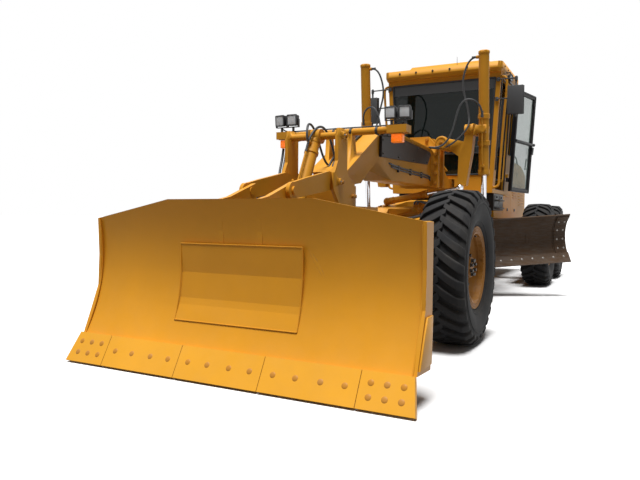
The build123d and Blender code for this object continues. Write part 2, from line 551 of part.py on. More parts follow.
# ---------------------------------------------------------------- inside the cab
SEAT_S = 3760.0
with BuildPart() as seat:
    block((-190, 190), (at(SEAT_S - 130), at(SEAT_S + 210)), (FLOOR_Z + 20.3, FLOOR_Z + 250))
    block((-250, 250), (at(SEAT_S - 240), at(SEAT_S + 260)), (FLOOR_Z + 250, FLOOR_Z + 390))
    side_plate([(at(SEAT_S + 170), FLOOR_Z + 390), (at(SEAT_S + 260), FLOOR_Z + 1010), (at(SEAT_S + 360), FLOOR_Z + 1010),
                (at(SEAT_S + 260), FLOOR_Z + 390)], (-245, 245))
write(seat, "seat")

COLUMN_S = 3330.0
with BuildPart() as console:
    side_plate([(at(COLUMN_S - 140), FLOOR_Z + 20.3), (at(COLUMN_S - 90), FLOOR_Z + 560), (at(COLUMN_S + 20), FLOOR_Z + 600),
                (at(COLUMN_S + 60), FLOOR_Z + 20.3)], (-170, 170))
    bar((0, at(COLUMN_S - 30), FLOOR_Z + 560), (0, at(COLUMN_S + 130), FLOOR_Z + 780), 26)
    with Locations(Plane(origin=(0, at(COLUMN_S + 130), FLOOR_Z + 780), z_dir=(0, 160, 220)).location):
        Torus(190, 15)
        Cylinder(40, 30)
        Box(380, 24, 12)
write(console, "console")

MIRROR_S = 2960.0
with BuildPart() as mirrors:
    for z in (2960.0, 2700.0):
        block((wall_x(z) - 50, wall_x(z) - 10), (at(CAB_S[0] - 24), at(CAB_S[0] - 0.3)), (z - 25, z + 25))
        bar((wall_x(z) - 25, at(CAB_S[0] - 16), z), (1010, at(MIRROR_S), z - 20), 9)
    bar((1010, at(MIRROR_S), 2965), (1010, at(MIRROR_S), 2440), 13)
    block((915, 1105), (at(MIRROR_S - 60), at(MIRROR_S - 5)), (2475, 2825))
    mirror(about=Plane.YZ)
write(mirrors, "mirrors")

# ================================================================ lamps across the nose
with BuildPart() as lamps:
    for x in (-620.0, -495.0, 495.0, 620.0):
        block((x - 12, x + 12), (at(BAR_S - 12), at(BAR_S + 12)), (BAR_Z + 34.3, BAR_Z + 90))
        block((x - 52, x + 52), (at(BAR_S - 50), at(BAR_S + 30)), (BAR_Z + 90, BAR_Z + 190))
    for x in (-560.0, 560.0):
        block((x - 55, x + 55), (at(BAR_S - 50), at(BAR_S + 20)), (BAR_Z - 114, BAR_Z - 34.3))
write(lamps, "lamps")

# ================================================================ lift arms on the saddle
ARM_PIVOT = (300.0, 2020.0)          # x, z of the pivot hub
TRUNNION = (770.0, 2175.0)           # x, z of the lift cylinder's yoke
LIFT_S = 2185.0
BARREL_RADIUS = 62.0
YOKE_HALF = 78.0
YOKE_PLATE = 30.0
YOKE_PIN_RADIUS = 38.0
HUB_END = TRUNNION[0] - YOKE_HALF - YOKE_PLATE - SIDE_GAP
LINK_BALL = (520.0, 1500.0)
with BuildPart() as lift_arms:
    front_plate([(200, 1960), (230, 2080), (340, 2085), (540, 2040), (HUB_END - 70, 2235), (HUB_END, 2235),
                 (HUB_END, 2115), (640, 1900), (575, 1500), (470, 1500), (480, 1860), (380, 1930)],
                (at(LIFT_S - 60), at(LIFT_S + 60)))
    bar((ARM_PIVOT[0], at(LIFT_S - 210), ARM_PIVOT[1]), (ARM_PIVOT[0], at(LIFT_S + 180), ARM_PIVOT[1]), 76.4)
    bar((HUB_END - 110, at(LIFT_S), TRUNNION[1]), (HUB_END, at(LIFT_S), TRUNNION[1]), 78)
    bar((HUB_END - 111, at(LIFT_S), TRUNNION[1]), (HUB_END + 1, at(LIFT_S), TRUNNION[1]), YOKE_PIN_RADIUS + RUN_GAP,
        Mode.SUBTRACT)
    mirror(about=Plane.YZ)
write(lift_arms, "lift_arms")

# ================================================================ drawbar, circle and moldboard
# They are modelled level, about the circle's middle, and then placed by the poses below.
CIRCLE_S = 2580.0
CIRCLE_Z = 1100.0
CIRCLE_RADIUS = 765.0
CIRCLE_HALF = 50.0
DRAWBAR_LIFT = 130.0                 # drawbar's middle plane above the circle's
CIRCLE_POINT = (0, at(CIRCLE_S), CIRCLE_Z)
DRAWBAR_POSE = Pos(*CIRCLE_POINT) * Rot(DRAWBAR_PITCH, 0, 0)
CIRCLE_POSE = DRAWBAR_POSE * Rot(0, 0, CIRCLE_TURN)
BALL_LOCAL = DRAWBAR_POSE.inverse() * Pos(0, at(BALL_S), BALL_Z)
BALL_Y = BALL_LOCAL.position.Y
BEAM_HALF = 55.0
DRIVE = (0.0, -415.0)                # x, y of the circle drive
SOCKET = (640.0, -300.0)             # x of the drawbar's side and y of the lift rods' eyes
EYE_HALF = 34.0
SHIFT_FOOT = (-520.0, -220.0)        # x, y of the centre-shift cylinder's ball on the drawbar
SHIFT_RISE = 62.0
SHIFT_BALL = 52.0
EYE_OFF = 18.0                       # eye beside its stub, clear of it over the whole lift
STUB_OUT = TRUNNION[0] - EYE_HALF - EYE_OFF - SOCKET[0]

with BuildPart() as drawbar:
    middle = DRAWBAR_LIFT
    with BuildSketch(Plane.XY.offset(middle - BEAM_HALF)) as frame_plan:
        with BuildLine():
            Polyline((-110, BALL_Y + 60), (110, BALL_Y + 60), (640, -300), (640, 380), (500, 470), (-500, 470),
                     (-640, 380), (-640, -300), close=True)
        make_face()
        with BuildLine():
            Polyline((0, BALL_Y + 420), (400, -500), (-400, -500), close=True)
        make_face(mode=Mode.SUBTRACT)
        with Locations((0, 30)):
            RectangleRounded(860, 640, 120, mode=Mode.SUBTRACT)
    extrude(frame_plan.sketch, amount=2 * BEAM_HALF)
    # socket round the frame's ball, split at the front
    bar((0, BALL_Y, BALL_LOCAL.position.Z - 80), (0, BALL_Y, BALL_LOCAL.position.Z + 80), 92)
    with Locations((0, BALL_Y, BALL_LOCAL.position.Z)):
        Sphere(BALL_RADIUS + BALL_GAP, mode=Mode.SUBTRACT)
    with Locations(Plane(origin=(0, BALL_Y, BALL_LOCAL.position.Z), z_dir=(0, -1, 0)).location):
        Cone(48, 130, 120, align=(Align.CENTER, Align.CENTER, Align.MIN), mode=Mode.SUBTRACT)
    # guide shoes for the circle and lift ball posts
    for x, y in ((560.0, -300.0), (560.0, 330.0), (-560.0, -300.0), (-560.0, 330.0)):
        block((x - 60, x + 60), (y - 60, y + 60), (CIRCLE_HALF + 0.5, middle - BEAM_HALF))
    bar((-SOCKET[0] - STUB_OUT, SOCKET[1], middle), (SOCKET[0] + STUB_OUT, SOCKET[1], middle), 38)
    # circle drive: gear housing on the front cross beam and its motor
    bar((*DRIVE, middle + BEAM_HALF - 10), (*DRIVE, middle + BEAM_HALF + 52), 84)
    bar((DRIVE[0], DRIVE[1] - 60, middle + BEAM_HALF + 4), (DRIVE[0], DRIVE[1] - 225, middle + BEAM_HALF + 4), 40)
    bar((*SHIFT_FOOT, middle + BEAM_HALF - 1), (*SHIFT_FOOT, middle + BEAM_HALF + SHIFT_RISE - SHIFT_BALL - SEAT_GAP), 40)
write(drawbar, "drawbar", DRAWBAR_POSE)

TOOTH_COUNT = 64
RING_WIDTH = 130.0
BLADE_ARM_X = 560.0
TIP_Y = 440.0
TIP_Z = -625.0
with BuildPart() as circle:
    with BuildSketch(Plane.XY.offset(-CIRCLE_HALF)) as ring_plan:
        Circle(CIRCLE_RADIUS)
        Circle(CIRCLE_RADIUS - RING_WIDTH, mode=Mode.SUBTRACT)
        with PolarLocations(CIRCLE_RADIUS - RING_WIDTH, TOOTH_COUNT):
            Rectangle(40, 34)
    extrude(ring_plan.sketch, amount=2 * CIRCLE_HALF)
    for x in (-BLADE_ARM_X, BLADE_ARM_X):
        side_plate([(-350, -CIRCLE_HALF), (540, -CIRCLE_HALF), (620, -300), (540, TIP_Z - 60), (400, TIP_Z - 60),
                    (385, -600), (405, -550), (472, -510), (472, -370), (430, -280), (330, -140),
                    (260, -CIRCLE_HALF - 24), (-350, -CIRCLE_HALF - 24)], (x - 20, x + 20))
        bar((x - 20, TIP_Y, TIP_Z), (x + 20, TIP_Y, TIP_Z), 62)
        bar((x - 20, TIP_Y, TIP_Z), (x + 20, TIP_Y, TIP_Z), 34 + RUN_GAP, Mode.SUBTRACT)
    block((-BLADE_ARM_X, BLADE_ARM_X), (530, 556), (-330, -CIRCLE_HALF - 10))
write(circle, "circle", CIRCLE_POSE)

# moldboard: arc section, its middle plane at y = BLADE_BACK
ARC_RADIUS = 413.0
BLADE_HEIGHT = 610.0
BLADE_LENGTH = 3658.0
BLADE_THICKNESS = 22.0
BLADE_MID_Z = -425.0
BLADE_BACK = 300.0
ARC_HALF = asin(BLADE_HEIGHT / 2 / ARC_RADIUS)


def arc_point(radius, angle):
    """Point (y, z) on the moldboard's section."""
    return (BLADE_BACK - ARC_RADIUS + radius * cos(angle), BLADE_MID_Z + radius * sin(angle))


RAIL_Z = (-560.0, -300.0)
RAIL_HALF = 22.0
RAIL_HALF_LENGTH = 1350.0
BRACKET_X = 470.0
SHIFT_CYL_Z = -430.0
SHIFT_CYL_Y = BLADE_BACK + 95
SHIFT_BARREL_X = (-1010.0, 350.0)     # on the bracket
SHIFT_ROD_START = -90.0 - SIDE_SHIFT
with BuildPart() as moldboard:
    outer = ARC_RADIUS + BLADE_THICKNESS
    with BuildSketch(Plane.YZ.offset(-BLADE_LENGTH / 2)) as section:
        with BuildLine():
            ThreePointArc(arc_point(ARC_RADIUS, -ARC_HALF), arc_point(ARC_RADIUS, 0), arc_point(ARC_RADIUS, ARC_HALF))
            Line(arc_point(ARC_RADIUS, ARC_HALF), arc_point(outer, ARC_HALF))
            ThreePointArc(arc_point(outer, ARC_HALF), arc_point(outer, 0), arc_point(outer, -ARC_HALF))
            Line(arc_point(outer, -ARC_HALF), arc_point(ARC_RADIUS, -ARC_HALF))
        make_face()
    extrude(section.sketch, amount=BLADE_LENGTH)
    # two slide rails on the back
    for z in RAIL_Z:
        block((-RAIL_HALF_LENGTH, RAIL_HALF_LENGTH), (BLADE_BACK - 30, BLADE_BACK + 60), (z - RAIL_HALF, z + RAIL_HALF))
    with BuildSketch(Plane.YZ.offset(-BLADE_LENGTH / 2)) as face:
        with BuildLine():
            ThreePointArc(arc_point(ARC_RADIUS, -ARC_HALF), arc_point(ARC_RADIUS, 0), arc_point(ARC_RADIUS, ARC_HALF))
            Line(arc_point(ARC_RADIUS, ARC_HALF), arc_point(ARC_RADIUS, -ARC_HALF))
        make_face()
    extrude(face.sketch, amount=BLADE_LENGTH, mode=Mode.SUBTRACT)
    # lug for the side-shift rod
    block((1250, 1275), (BLADE_BACK - 10, SHIFT_CYL_Y + 60), (SHIFT_CYL_Z - 60, SHIFT_CYL_Z + 60))
    bar((SHIFT_ROD_START, SHIFT_CYL_Y, SHIFT_CYL_Z), (1260, SHIFT_CYL_Y, SHIFT_CYL_Z), 24)
SHIFT_POSE = CIRCLE_POSE * Pos(SIDE_SHIFT, 0, 0)
write(moldboard, "moldboard", SHIFT_POSE)

EDGE_THICKNESS = 19.0
with BuildPart() as cutting_edge:
    low = arc_point(ARC_RADIUS - 0.3, -ARC_HALF)
    slope = (sin(ARC_HALF - 0.18), cos(ARC_HALF - 0.18))
    inward = (-slope[1], slope[0])
    foot = (low[0] - slope[0] * 60, low[1] - slope[1] * 60)
    head = (low[0] + slope[0] * 92, low[1] + slope[1] * 92)
    side_plate([foot, head, (head[0] + inward[0] * EDGE_THICKNESS, head[1] + inward[1] * EDGE_THICKNESS),
                (foot[0] + inward[0] * EDGE_THICKNESS, foot[1] + inward[1] * EDGE_THICKNESS)],
               (-BLADE_LENGTH / 2, BLADE_LENGTH / 2))
write(cutting_edge, "cutting_edge", SHIFT_POSE)

with BuildPart() as blade_bracket:
    for x in (-BRACKET_X, BRACKET_X):
        side_plate([(BLADE_BACK + 62, -240), (BLADE_BACK + 110, -240), (BLADE_BACK + 150, TIP_Z - 30),
                    (BLADE_BACK + 62, TIP_Z - 30)], (x - 50, x + 50))
        for z in RAIL_Z:
            for low, high in ((RAIL_HALF + 1, RAIL_HALF + 26), (-RAIL_HALF - 26, -RAIL_HALF - 1)):
                block((x - 50, x + 50), (BLADE_BACK + 34, BLADE_BACK + 70), (z + low, z + high))
    bar((-BLADE_ARM_X - 34, TIP_Y, TIP_Z), (BLADE_ARM_X + 34, TIP_Y, TIP_Z), 34)
    # side-shift barrel held by the brackets
    bar((SHIFT_BARREL_X[0], SHIFT_CYL_Y, SHIFT_CYL_Z), (SHIFT_BARREL_X[1], SHIFT_CYL_Y, SHIFT_CYL_Z), 45)
    bar((SHIFT_BARREL_X[0] + 20, SHIFT_CYL_Y, SHIFT_CYL_Z), (BRACKET_X + 51, SHIFT_CYL_Y, SHIFT_CYL_Z),
        24 + RUN_GAP, Mode.SUBTRACT)
write(blade_bracket, "blade_bracket", CIRCLE_POSE)

# ================================================================ lift cylinders
LIFT_ROD_RADIUS = 32.0


def along(start, end, distance):
    """Point at a distance from start towards end."""
    return tuple(Vector(*start) + (Vector(*end) - Vector(*start)).normalized() * distance)


def cylinder(barrel_name, rod_name, pin, eye, barrel, radius, rod_radius, rod_start, bore_start, fittings):
    """Barrel (from barrel[0] to barrel[1] measured from its pin towards the eye) and rod of one cylinder."""
    with BuildPart() as tube:
        bar(along(pin, eye, barrel[0]), along(pin, eye, barrel[1]), radius)
        bar(along(pin, eye, barrel[1] - 60), along(pin, eye, barrel[1]), radius + 8)
        bar(along(pin, eye, barrel[0]), along(pin, eye, barrel[0] + 30), radius + 5)
        fittings(False)
        bar(along(pin, eye, bore_start), along(pin, eye, barrel[1] + 1), rod_radius + RUN_GAP, Mode.SUBTRACT)
    write(tube, barrel_name)
    with BuildPart() as rod:
        length = (Vector(*eye) - Vector(*pin)).length
        bar(along(pin, eye, rod_start), along(pin, eye, length), rod_radius)
        fittings(True)
    write(rod, rod_name)


for side, outward in (("left", 1), ("right", -1)):
    pin = (outward * TRUNNION[0], at(LIFT_S), TRUNNION[1])
    eye = tuple((DRAWBAR_POSE * Pos(pin[0], SOCKET[1], DRAWBAR_LIFT)).position)

    def lift_fittings(on_rod):
        if on_rod:
            bar((eye[0] - EYE_HALF, eye[1], eye[2]), (eye[0] + EYE_HALF, eye[1], eye[2]), 60)
            return
        # yoke with cheeks before and behind the barrel, on a pin into the arm's hub
        bar((pin[0], pin[1] - YOKE_HALF - 30, pin[2]), (pin[0], pin[1] + YOKE_HALF + 30, pin[2]), 40)
        inner = sorted((pin[0] - outward * (YOKE_HALF + YOKE_PLATE), pin[0] - outward * YOKE_HALF))
        cheek = sorted((pin[0] - outward * (YOKE_HALF + 1), pin[0] + outward * 45))
        block(inner, (pin[1] - YOKE_HALF - 26, pin[1] + YOKE_HALF + 26), (pin[2] - 62, pin[2] + 62))
        for low in (pin[1] - YOKE_HALF - 26, pin[1] + YOKE_HALF - 4):
            block(cheek, (low, low + 30), (pin[2] - 50, pin[2] + 50))
        bar((outward * (HUB_END - 100), pin[1], pin[2]), (pin[0] - outward * YOKE_HALF, pin[1], pin[2]), YOKE_PIN_RADIUS)

    cylinder(f"lift_barrel_{side}", f"lift_rod_{side}", pin, eye, (-930, 540), BARREL_RADIUS, LIFT_ROD_RADIUS,
             -560, -565, lift_fittings)

# ---------------------------------------------------------------- centre-shift cylinder
SHIFT_EYE = (LINK_BALL[0], at(LIFT_S - 125), LINK_BALL[1] - 30)
SHIFT_PIN = tuple((DRAWBAR_POSE * Pos(*SHIFT_FOOT, DRAWBAR_LIFT + BEAM_HALF + SHIFT_RISE)).position)

SHIFT_LINE = Plane(origin=SHIFT_PIN, z_dir=tuple(Vector(*SHIFT_EYE) - Vector(*SHIFT_PIN)))


def shift_fittings(on_rod):
    if on_rod:
        with Locations((SHIFT_LINE.offset((Vector(*SHIFT_EYE) - Vector(*SHIFT_PIN)).length)).location):
            Sphere(44)
    else:
        with Locations(SHIFT_LINE.location):
            Sphere(SHIFT_BALL)


cylinder("shift_barrel", "shift_rod", SHIFT_PIN, SHIFT_EYE, (38, 620), 42, 22, 90, 85, shift_fittings)

# ================================================================ front blade and its lift linkage
UPPER_PIN = (-800.0, 1390.0)         # s, z on the mount
LOWER_PIN = (-760.0, 740.0)
LINK_RUN = (-680.0, -100.0)          # from the mount's pins to the blade's pins
LINK_X = (185.0, 215.0)
UPRIGHT_X = (221.0, 251.0)
LUG_X = (140.0, 179.0)
LINK_PIN_RADIUS = 30.0
LINK_EYE = 62.0
PUSH_CYL_TOP = (-740.0, 1775.0)
PUSH_CYL_FOOT = 0.8                  # where the rod's eye stands on the lower arms, as a share of their length
PUSH_RADIUS = 52.0
PUSH_ROD_RADIUS = 30.0


def pin_end(pin):
    """A mount pin's partner on the blade."""
    return (pin[0] + LINK_RUN[0], pin[1] + LINK_RUN[1])


FOOT = (LOWER_PIN[0] + PUSH_CYL_FOOT * LINK_RUN[0], LOWER_PIN[1] + PUSH_CYL_FOOT * LINK_RUN[1])

with BuildPart() as front_mount:
    block((-UPRIGHT_X[1], UPRIGHT_X[1]), (at(PEDESTAL_S[0] - 60), at(PEDESTAL_S[0] - 0.3)), (640, 1370))
    for low, high in (UPRIGHT_X, (-UPRIGHT_X[1], -UPRIGHT_X[0])):
        side_plate(side_points([(-480, 640), (-860, 640), (-880, 840), (-740, 1150), (-900, 1330), (-880, 1460),
                                (-820, 1560), (-820, 1760), (-790, 1830), (-690, 1830), (-640, 1760), (-640, 1480),
                                (-530, 1370), (-480, 1370)]), (low, high))
    for s, z in (UPPER_PIN, LOWER_PIN):
        for low, high in ((LINK_X[0] - 4, UPRIGHT_X[1] + 14), (-UPRIGHT_X[1] - 14, -LINK_X[0] + 4)):
            bar((low, at(s), z), (high, at(s), z), LINK_PIN_RADIUS)
    bar((-UPRIGHT_X[1] - 14, at(PUSH_CYL_TOP[0]), PUSH_CYL_TOP[1]), (UPRIGHT_X[1] + 14, at(PUSH_CYL_TOP[0]), PUSH_CYL_TOP[1]), 30)
write(front_mount, "front_mount")


def link_pair(piece_points, pins, cross):
    """Two mirrored link plates with eyes at both ends."""
    side_plate(side_points(piece_points), LINK_X)
    for s, z in pins:
        bar((LINK_X[0], at(s), z), (LINK_X[1], at(s), z), LINK_EYE)
    for start, end, radius in cross:
        bar((-1, at(start[0]), start[1]), (LINK_X[1], at(end[0]), end[1]), radius)
    mirror(about=Plane.YZ)
    for s, z in pins:
        bar((-LINK_X[1], at(s), z), (LINK_X[1], at(s), z), LINK_PIN_RADIUS + RUN_GAP, Mode.SUBTRACT)


with BuildPart() as front_lower_arms:
    link_pair([(LOWER_PIN[0], LOWER_PIN[1] + 55), (LOWER_PIN[0], LOWER_PIN[1] - 55),
               (LOWER_PIN[0] + LINK_RUN[0], LOWER_PIN[1] + LINK_RUN[1] - 55),
               (LOWER_PIN[0] + LINK_RUN[0], LOWER_PIN[1] + LINK_RUN[1] + 55)],
              (LOWER_PIN, pin_end(LOWER_PIN)), ())
    bar((-LINK_X[1], at(FOOT[0]), FOOT[1] - 105), (LINK_X[1], at(FOOT[0]), FOOT[1] - 105), 50)
    for x in (-75.0, 45.0):
        side_plate(side_points([(FOOT[0] - 60, FOOT[1] - 110), (FOOT[0] - 45, FOOT[1] + 45), (FOOT[0] + 45, FOOT[1] + 45),
                                (FOOT[0] + 60, FOOT[1] - 110)]), (x, x + 30))
    for low, high in (LINK_X, (-LINK_X[1], -LINK_X[0])):
        side_plate(side_points([(FOOT[0] - 90, FOOT[1]), (FOOT[0] - 55, FOOT[1] - 140), (FOOT[0] + 55, FOOT[1] - 140),
                                (FOOT[0] + 90, FOOT[1])]), (low, high))
write(front_lower_arms, "front_lower_arms")

with BuildPart() as front_upper_links:
    link_pair([(UPPER_PIN[0], UPPER_PIN[1] + 60), (UPPER_PIN[0], UPPER_PIN[1] - 60),
               (UPPER_PIN[0] + LINK_RUN[0], UPPER_PIN[1] + LINK_RUN[1] - 60),
               (UPPER_PIN[0] + LINK_RUN[0], UPPER_PIN[1] + LINK_RUN[1] + 60), (-1300, 1390), (-900, 1470)],
              (UPPER_PIN, pin_end(UPPER_PIN)), ())
write(front_upper_links, "front_upper_links")

# ---------------------------------------------------------------- front blade
BLADE_HALF = 1300.0
FACE_LOW = (-2010.0, 200.0)
FACE_MID = (-1832.0, 690.0)
FACE_TOP = (-1895.0, 1220.0)
CORNER_Z = 1080.0
FLAT_HALF = 590.0
PLATE = 20.0
END_PLATE = 24.0

RIB_X = (-1060.0, -760.0, -440.0, 440.0, 760.0, 1060.0)


def face_s(z):
    """Distance s of the face at a height, on the circle through its three points."""
    (s1, z1), (s2, z2), (s3, z3) = FACE_LOW, FACE_MID, FACE_TOP
    turn = 2 * (s1 * (z2 - z3) + s2 * (z3 - z1) + s3 * (z1 - z2))
    squares = [s * s + h * h for s, h in (FACE_LOW, FACE_MID, FACE_TOP)]
    s0 = (squares[0] * (z2 - z3) + squares[1] * (z3 - z1) + squares[2] * (z1 - z2)) / turn
    z0 = (squares[0] * (s3 - s2) + squares[1] * (s1 - s3) + squares[2] * (s2 - s1)) / turn
    return s0 + ((s1 - s0) ** 2 + (z1 - z0) ** 2 - (z - z0) ** 2) ** 0.5


with BuildPart() as front_blade:
    # curved plate, cut to the sloping top line
    with BuildSketch(Plane.YZ.offset(-BLADE_HALF)) as curve:
        with BuildLine():
            ThreePointArc((at(FACE_LOW[0]), FACE_LOW[1]), (at(FACE_MID[0]), FACE_MID[1]), (at(FACE_TOP[0]), FACE_TOP[1]))
            Line((at(FACE_TOP[0]), FACE_TOP[1]), (at(FACE_TOP[0] + PLATE), FACE_TOP[1]))
            ThreePointArc((at(FACE_TOP[0] + PLATE), FACE_TOP[1]), (at(FACE_MID[0] + PLATE), FACE_MID[1]),
                          (at(FACE_LOW[0] + PLATE), FACE_LOW[1] - 20))
            Line((at(FACE_LOW[0] + PLATE), FACE_LOW[1] - 20), (at(FACE_LOW[0]), FACE_LOW[1]))
        make_face()
    extrude(curve.sketch, amount=2 * BLADE_HALF)
    # box rib behind the curve, then end plates
    side_plate(side_points([(FACE_LOW[0] + 24, 190), (FACE_LOW[0] + 260, 190), (FACE_MID[0] + 110, 420),
                            (FACE_MID[0] + 12, 560), (FACE_MID[0] + 6, 470)]), (-BLADE_HALF, BLADE_HALF))
    side_plate(side_points([(face_s(1020) + 10, 1020), (face_s(1020) + 130, 1036), (face_s(1020) + 130, 1054),
                            (face_s(1060) + 10, 1060)]), (-BLADE_HALF, BLADE_HALF))
    for x in RIB_X:
        side_plate(side_points([(face_s(480) + 10, 420), (face_s(640) + 10, 640), (face_s(850) + 10, 850),
                                (face_s(1030) + 10, 1030), (face_s(1030) + 120, 1040), (face_s(850) + 100, 850),
                                (face_s(640) + 110, 640), (face_s(420) + 190, 420)]), (x - 8, x + 8))
    for low, high in ((BLADE_HALF, BLADE_HALF + END_PLATE), (-BLADE_HALF - END_PLATE, -BLADE_HALF)):
        side_plate(side_points([(-2005, 205), (-1925, 400), (-1862, 560), (-1850, 800), (-1862, 1100), (-1725, 1100),
                                (-1725, 480), (-1745, 190)]), (low, high))
    # sloping top line
    for flip in (-1, 1):
        front_plate([(flip * FLAT_HALF, FACE_TOP[1]), (flip * (BLADE_HALF + 40), CORNER_Z - 4),
                     (flip * (BLADE_HALF + 40), 1300), (flip * FLAT_HALF, 1300)], (at(-2100), at(-1600)), Mode.SUBTRACT)
    # wear plate on the face
    with BuildSketch(Plane.YZ.offset(-500)) as wear:
        with BuildLine():
            Polyline((at(-1925), 365), (at(-1868), 500), (at(-1843), 700), (at(-1856), 905), (at(-1838), 905),
                     (at(-1825), 700), (at(-1850), 500), (at(-1907), 365), close=True)
        make_face()
    extrude(wear.sketch, amount=1000)
    # lugs for the linkage
    for low, high in (LUG_X, (-LUG_X[1], -LUG_X[0])):
        top, low_pin = pin_end(UPPER_PIN), pin_end(LOWER_PIN)
        side_plate(side_points([(-1760, 200), (low_pin[0] - 40, low_pin[1] - 70), (low_pin[0] + 50, low_pin[1] - 40),
                                (low_pin[0] + 50, low_pin[1] + 60), (-1620, 900), (top[0] + 55, top[1] - 50),
                                (top[0] + 50, top[1] + 60), (-1750, 1240), (-1880, 1215), (-1838, 1000),
                                (-1815, 700), (-1850, 400)]), (low, high))
        out = 1 if low > 0 else -1
        for s, z in (top, low_pin):
            bar((out * (LUG_X[0] - 6), at(s), z), (out * (LINK_X[1] + 16), at(s), z), LINK_PIN_RADIUS)
write(front_blade, "front_blade")

EDGE_SEAMS = (-1370.0, -1000.0, -335.0, 335.0, 1000.0, 1370.0)
EDGE_RISE = (0.490, 0.8716)          # direction of the edge pieces, upwards
EDGE_PLATE = 25.0
EDGE_LOW_Z = 6.0
edge_seat = (FACE_LOW[0] - 1.0, FACE_LOW[1])
edge_reach = (FACE_LOW[1] - EDGE_LOW_Z) / EDGE_RISE[1]
edge_foot = (edge_seat[0] - EDGE_RISE[0] * edge_reach, EDGE_LOW_Z)
edge_head = (edge_seat[0] + EDGE_RISE[0] * 4, edge_seat[1] + EDGE_RISE[1] * 4)
edge_ahead = (-EDGE_RISE[1] * EDGE_PLATE, EDGE_RISE[0] * EDGE_PLATE)
with BuildPart() as front_edges:
    for low, high in zip(EDGE_SEAMS, EDGE_SEAMS[1:]):
        with BuildSketch(Plane.YZ.offset(low + 2)) as edge:
            with BuildLine():
                Polyline(*side_points([edge_head, edge_foot, (edge_foot[0] + edge_ahead[0], edge_foot[1] + edge_ahead[1]),
                                       (edge_head[0] + edge_ahead[0], edge_head[1] + edge_ahead[1])]), close=True)
            make_face()
        extrude(edge.sketch, amount=high - low - 4)
    # outer ends slope in towards the top
    for flip in (-1, 1):
        front_plate([(flip * 1366, 0), (flip * 1318, 230), (flip * 1400, 230), (flip * 1400, 0)],
                    (at(-2150), at(-1950)), Mode.SUBTRACT)
write(front_edges, "front_edges")

# ---------------------------------------------------------------- front lift cylinder
TOP_POINT = (0, at(PUSH_CYL_TOP[0]), PUSH_CYL_TOP[1])
FOOT_POINT = (0, at(FOOT[0]), FOOT[1])


def push_fittings(on_rod):
    if on_rod:
        bar((-40, FOOT_POINT[1], FOOT_POINT[2]), (40, FOOT_POINT[1], FOOT_POINT[2]), 44)
    else:
        bar((-60, TOP_POINT[1], TOP_POINT[2]), (60, TOP_POINT[1], TOP_POINT[2]), 62)
        bar((-61, TOP_POINT[1], TOP_POINT[2]), (61, TOP_POINT[1], TOP_POINT[2]), 30 + RUN_GAP, Mode.SUBTRACT)


cylinder("front_lift_barrel", "front_lift_rod", TOP_POINT, FOOT_POINT, (40, 700), PUSH_RADIUS, PUSH_ROD_RADIUS,
         510, 68, push_fittings)
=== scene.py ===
"""Motor grader with a front push blade: finishes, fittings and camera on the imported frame, in metres."""

import json
from math import cos, pi, radians, sin

import bmesh
import bpy
from mathutils import Matrix, Vector

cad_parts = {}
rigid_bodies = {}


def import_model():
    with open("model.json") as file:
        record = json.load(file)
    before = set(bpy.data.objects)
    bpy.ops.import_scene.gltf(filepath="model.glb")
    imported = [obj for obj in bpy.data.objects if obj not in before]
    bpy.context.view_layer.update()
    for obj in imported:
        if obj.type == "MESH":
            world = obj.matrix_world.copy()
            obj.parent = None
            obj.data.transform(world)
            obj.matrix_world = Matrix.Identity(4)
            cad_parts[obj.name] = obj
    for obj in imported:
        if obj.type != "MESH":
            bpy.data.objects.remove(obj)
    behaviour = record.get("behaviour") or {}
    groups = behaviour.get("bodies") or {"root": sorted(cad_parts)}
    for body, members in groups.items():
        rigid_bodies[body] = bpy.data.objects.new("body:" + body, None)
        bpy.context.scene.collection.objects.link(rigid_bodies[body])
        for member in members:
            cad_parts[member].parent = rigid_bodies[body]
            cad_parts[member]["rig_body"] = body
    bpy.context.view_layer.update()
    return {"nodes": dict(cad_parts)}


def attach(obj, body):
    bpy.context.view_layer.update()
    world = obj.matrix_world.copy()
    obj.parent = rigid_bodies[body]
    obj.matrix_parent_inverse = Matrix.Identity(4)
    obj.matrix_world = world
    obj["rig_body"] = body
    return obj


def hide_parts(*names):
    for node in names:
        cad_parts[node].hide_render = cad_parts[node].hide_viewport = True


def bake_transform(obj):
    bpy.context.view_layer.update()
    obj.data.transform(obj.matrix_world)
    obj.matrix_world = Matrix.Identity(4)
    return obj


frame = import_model()

AXLE_Y = -2.98
X, Y, Z = (1, 0, 0), (0, 1, 0), (0, 0, 1)
FRONT, REAR = "front_machine", "rear_machine"


def at(s):
    """Y of a place on the machine; s is its distance behind the front axle."""
    return AXLE_Y + s


def here(x, s, z):
    return Vector((x, at(s), z))


def path(points, side=1):
    """Points given as (x, s, z), for one side of the machine."""
    return [(side * x, at(s), z) for x, s, z in points]


# ================================================================ shader node groups
def group(name, inputs, outputs):
    """An empty node group with named sockets: returns its tree and its two end nodes."""
    tree = bpy.data.node_groups.new(name, "ShaderNodeTree")
    for label, kind, value in inputs:
        socket = tree.interface.new_socket(label, in_out="INPUT", socket_type=kind)
        if value is not None:
            socket.default_value = value
    for label, kind in outputs:
        tree.interface.new_socket(label, in_out="OUTPUT", socket_type=kind)
    return tree, tree.nodes.new("NodeGroupInput"), tree.nodes.new("NodeGroupOutput")


def node(tree, kind, links=(), **values):
    """A node with its settings; links is (input, from_node, output) triples."""
    made = tree.nodes.new("ShaderNode" + kind)
    for key, value in values.items():
        if key.startswith("in_"):
            made.inputs[int(key[3:]) if key[3:].isdigit() else key[3:].replace("_", " ")].default_value = value
        else:
            setattr(made, key, value)
    for target, source, output in links:
        tree.links.new(source.outputs[output], made.inputs[target])
    return made


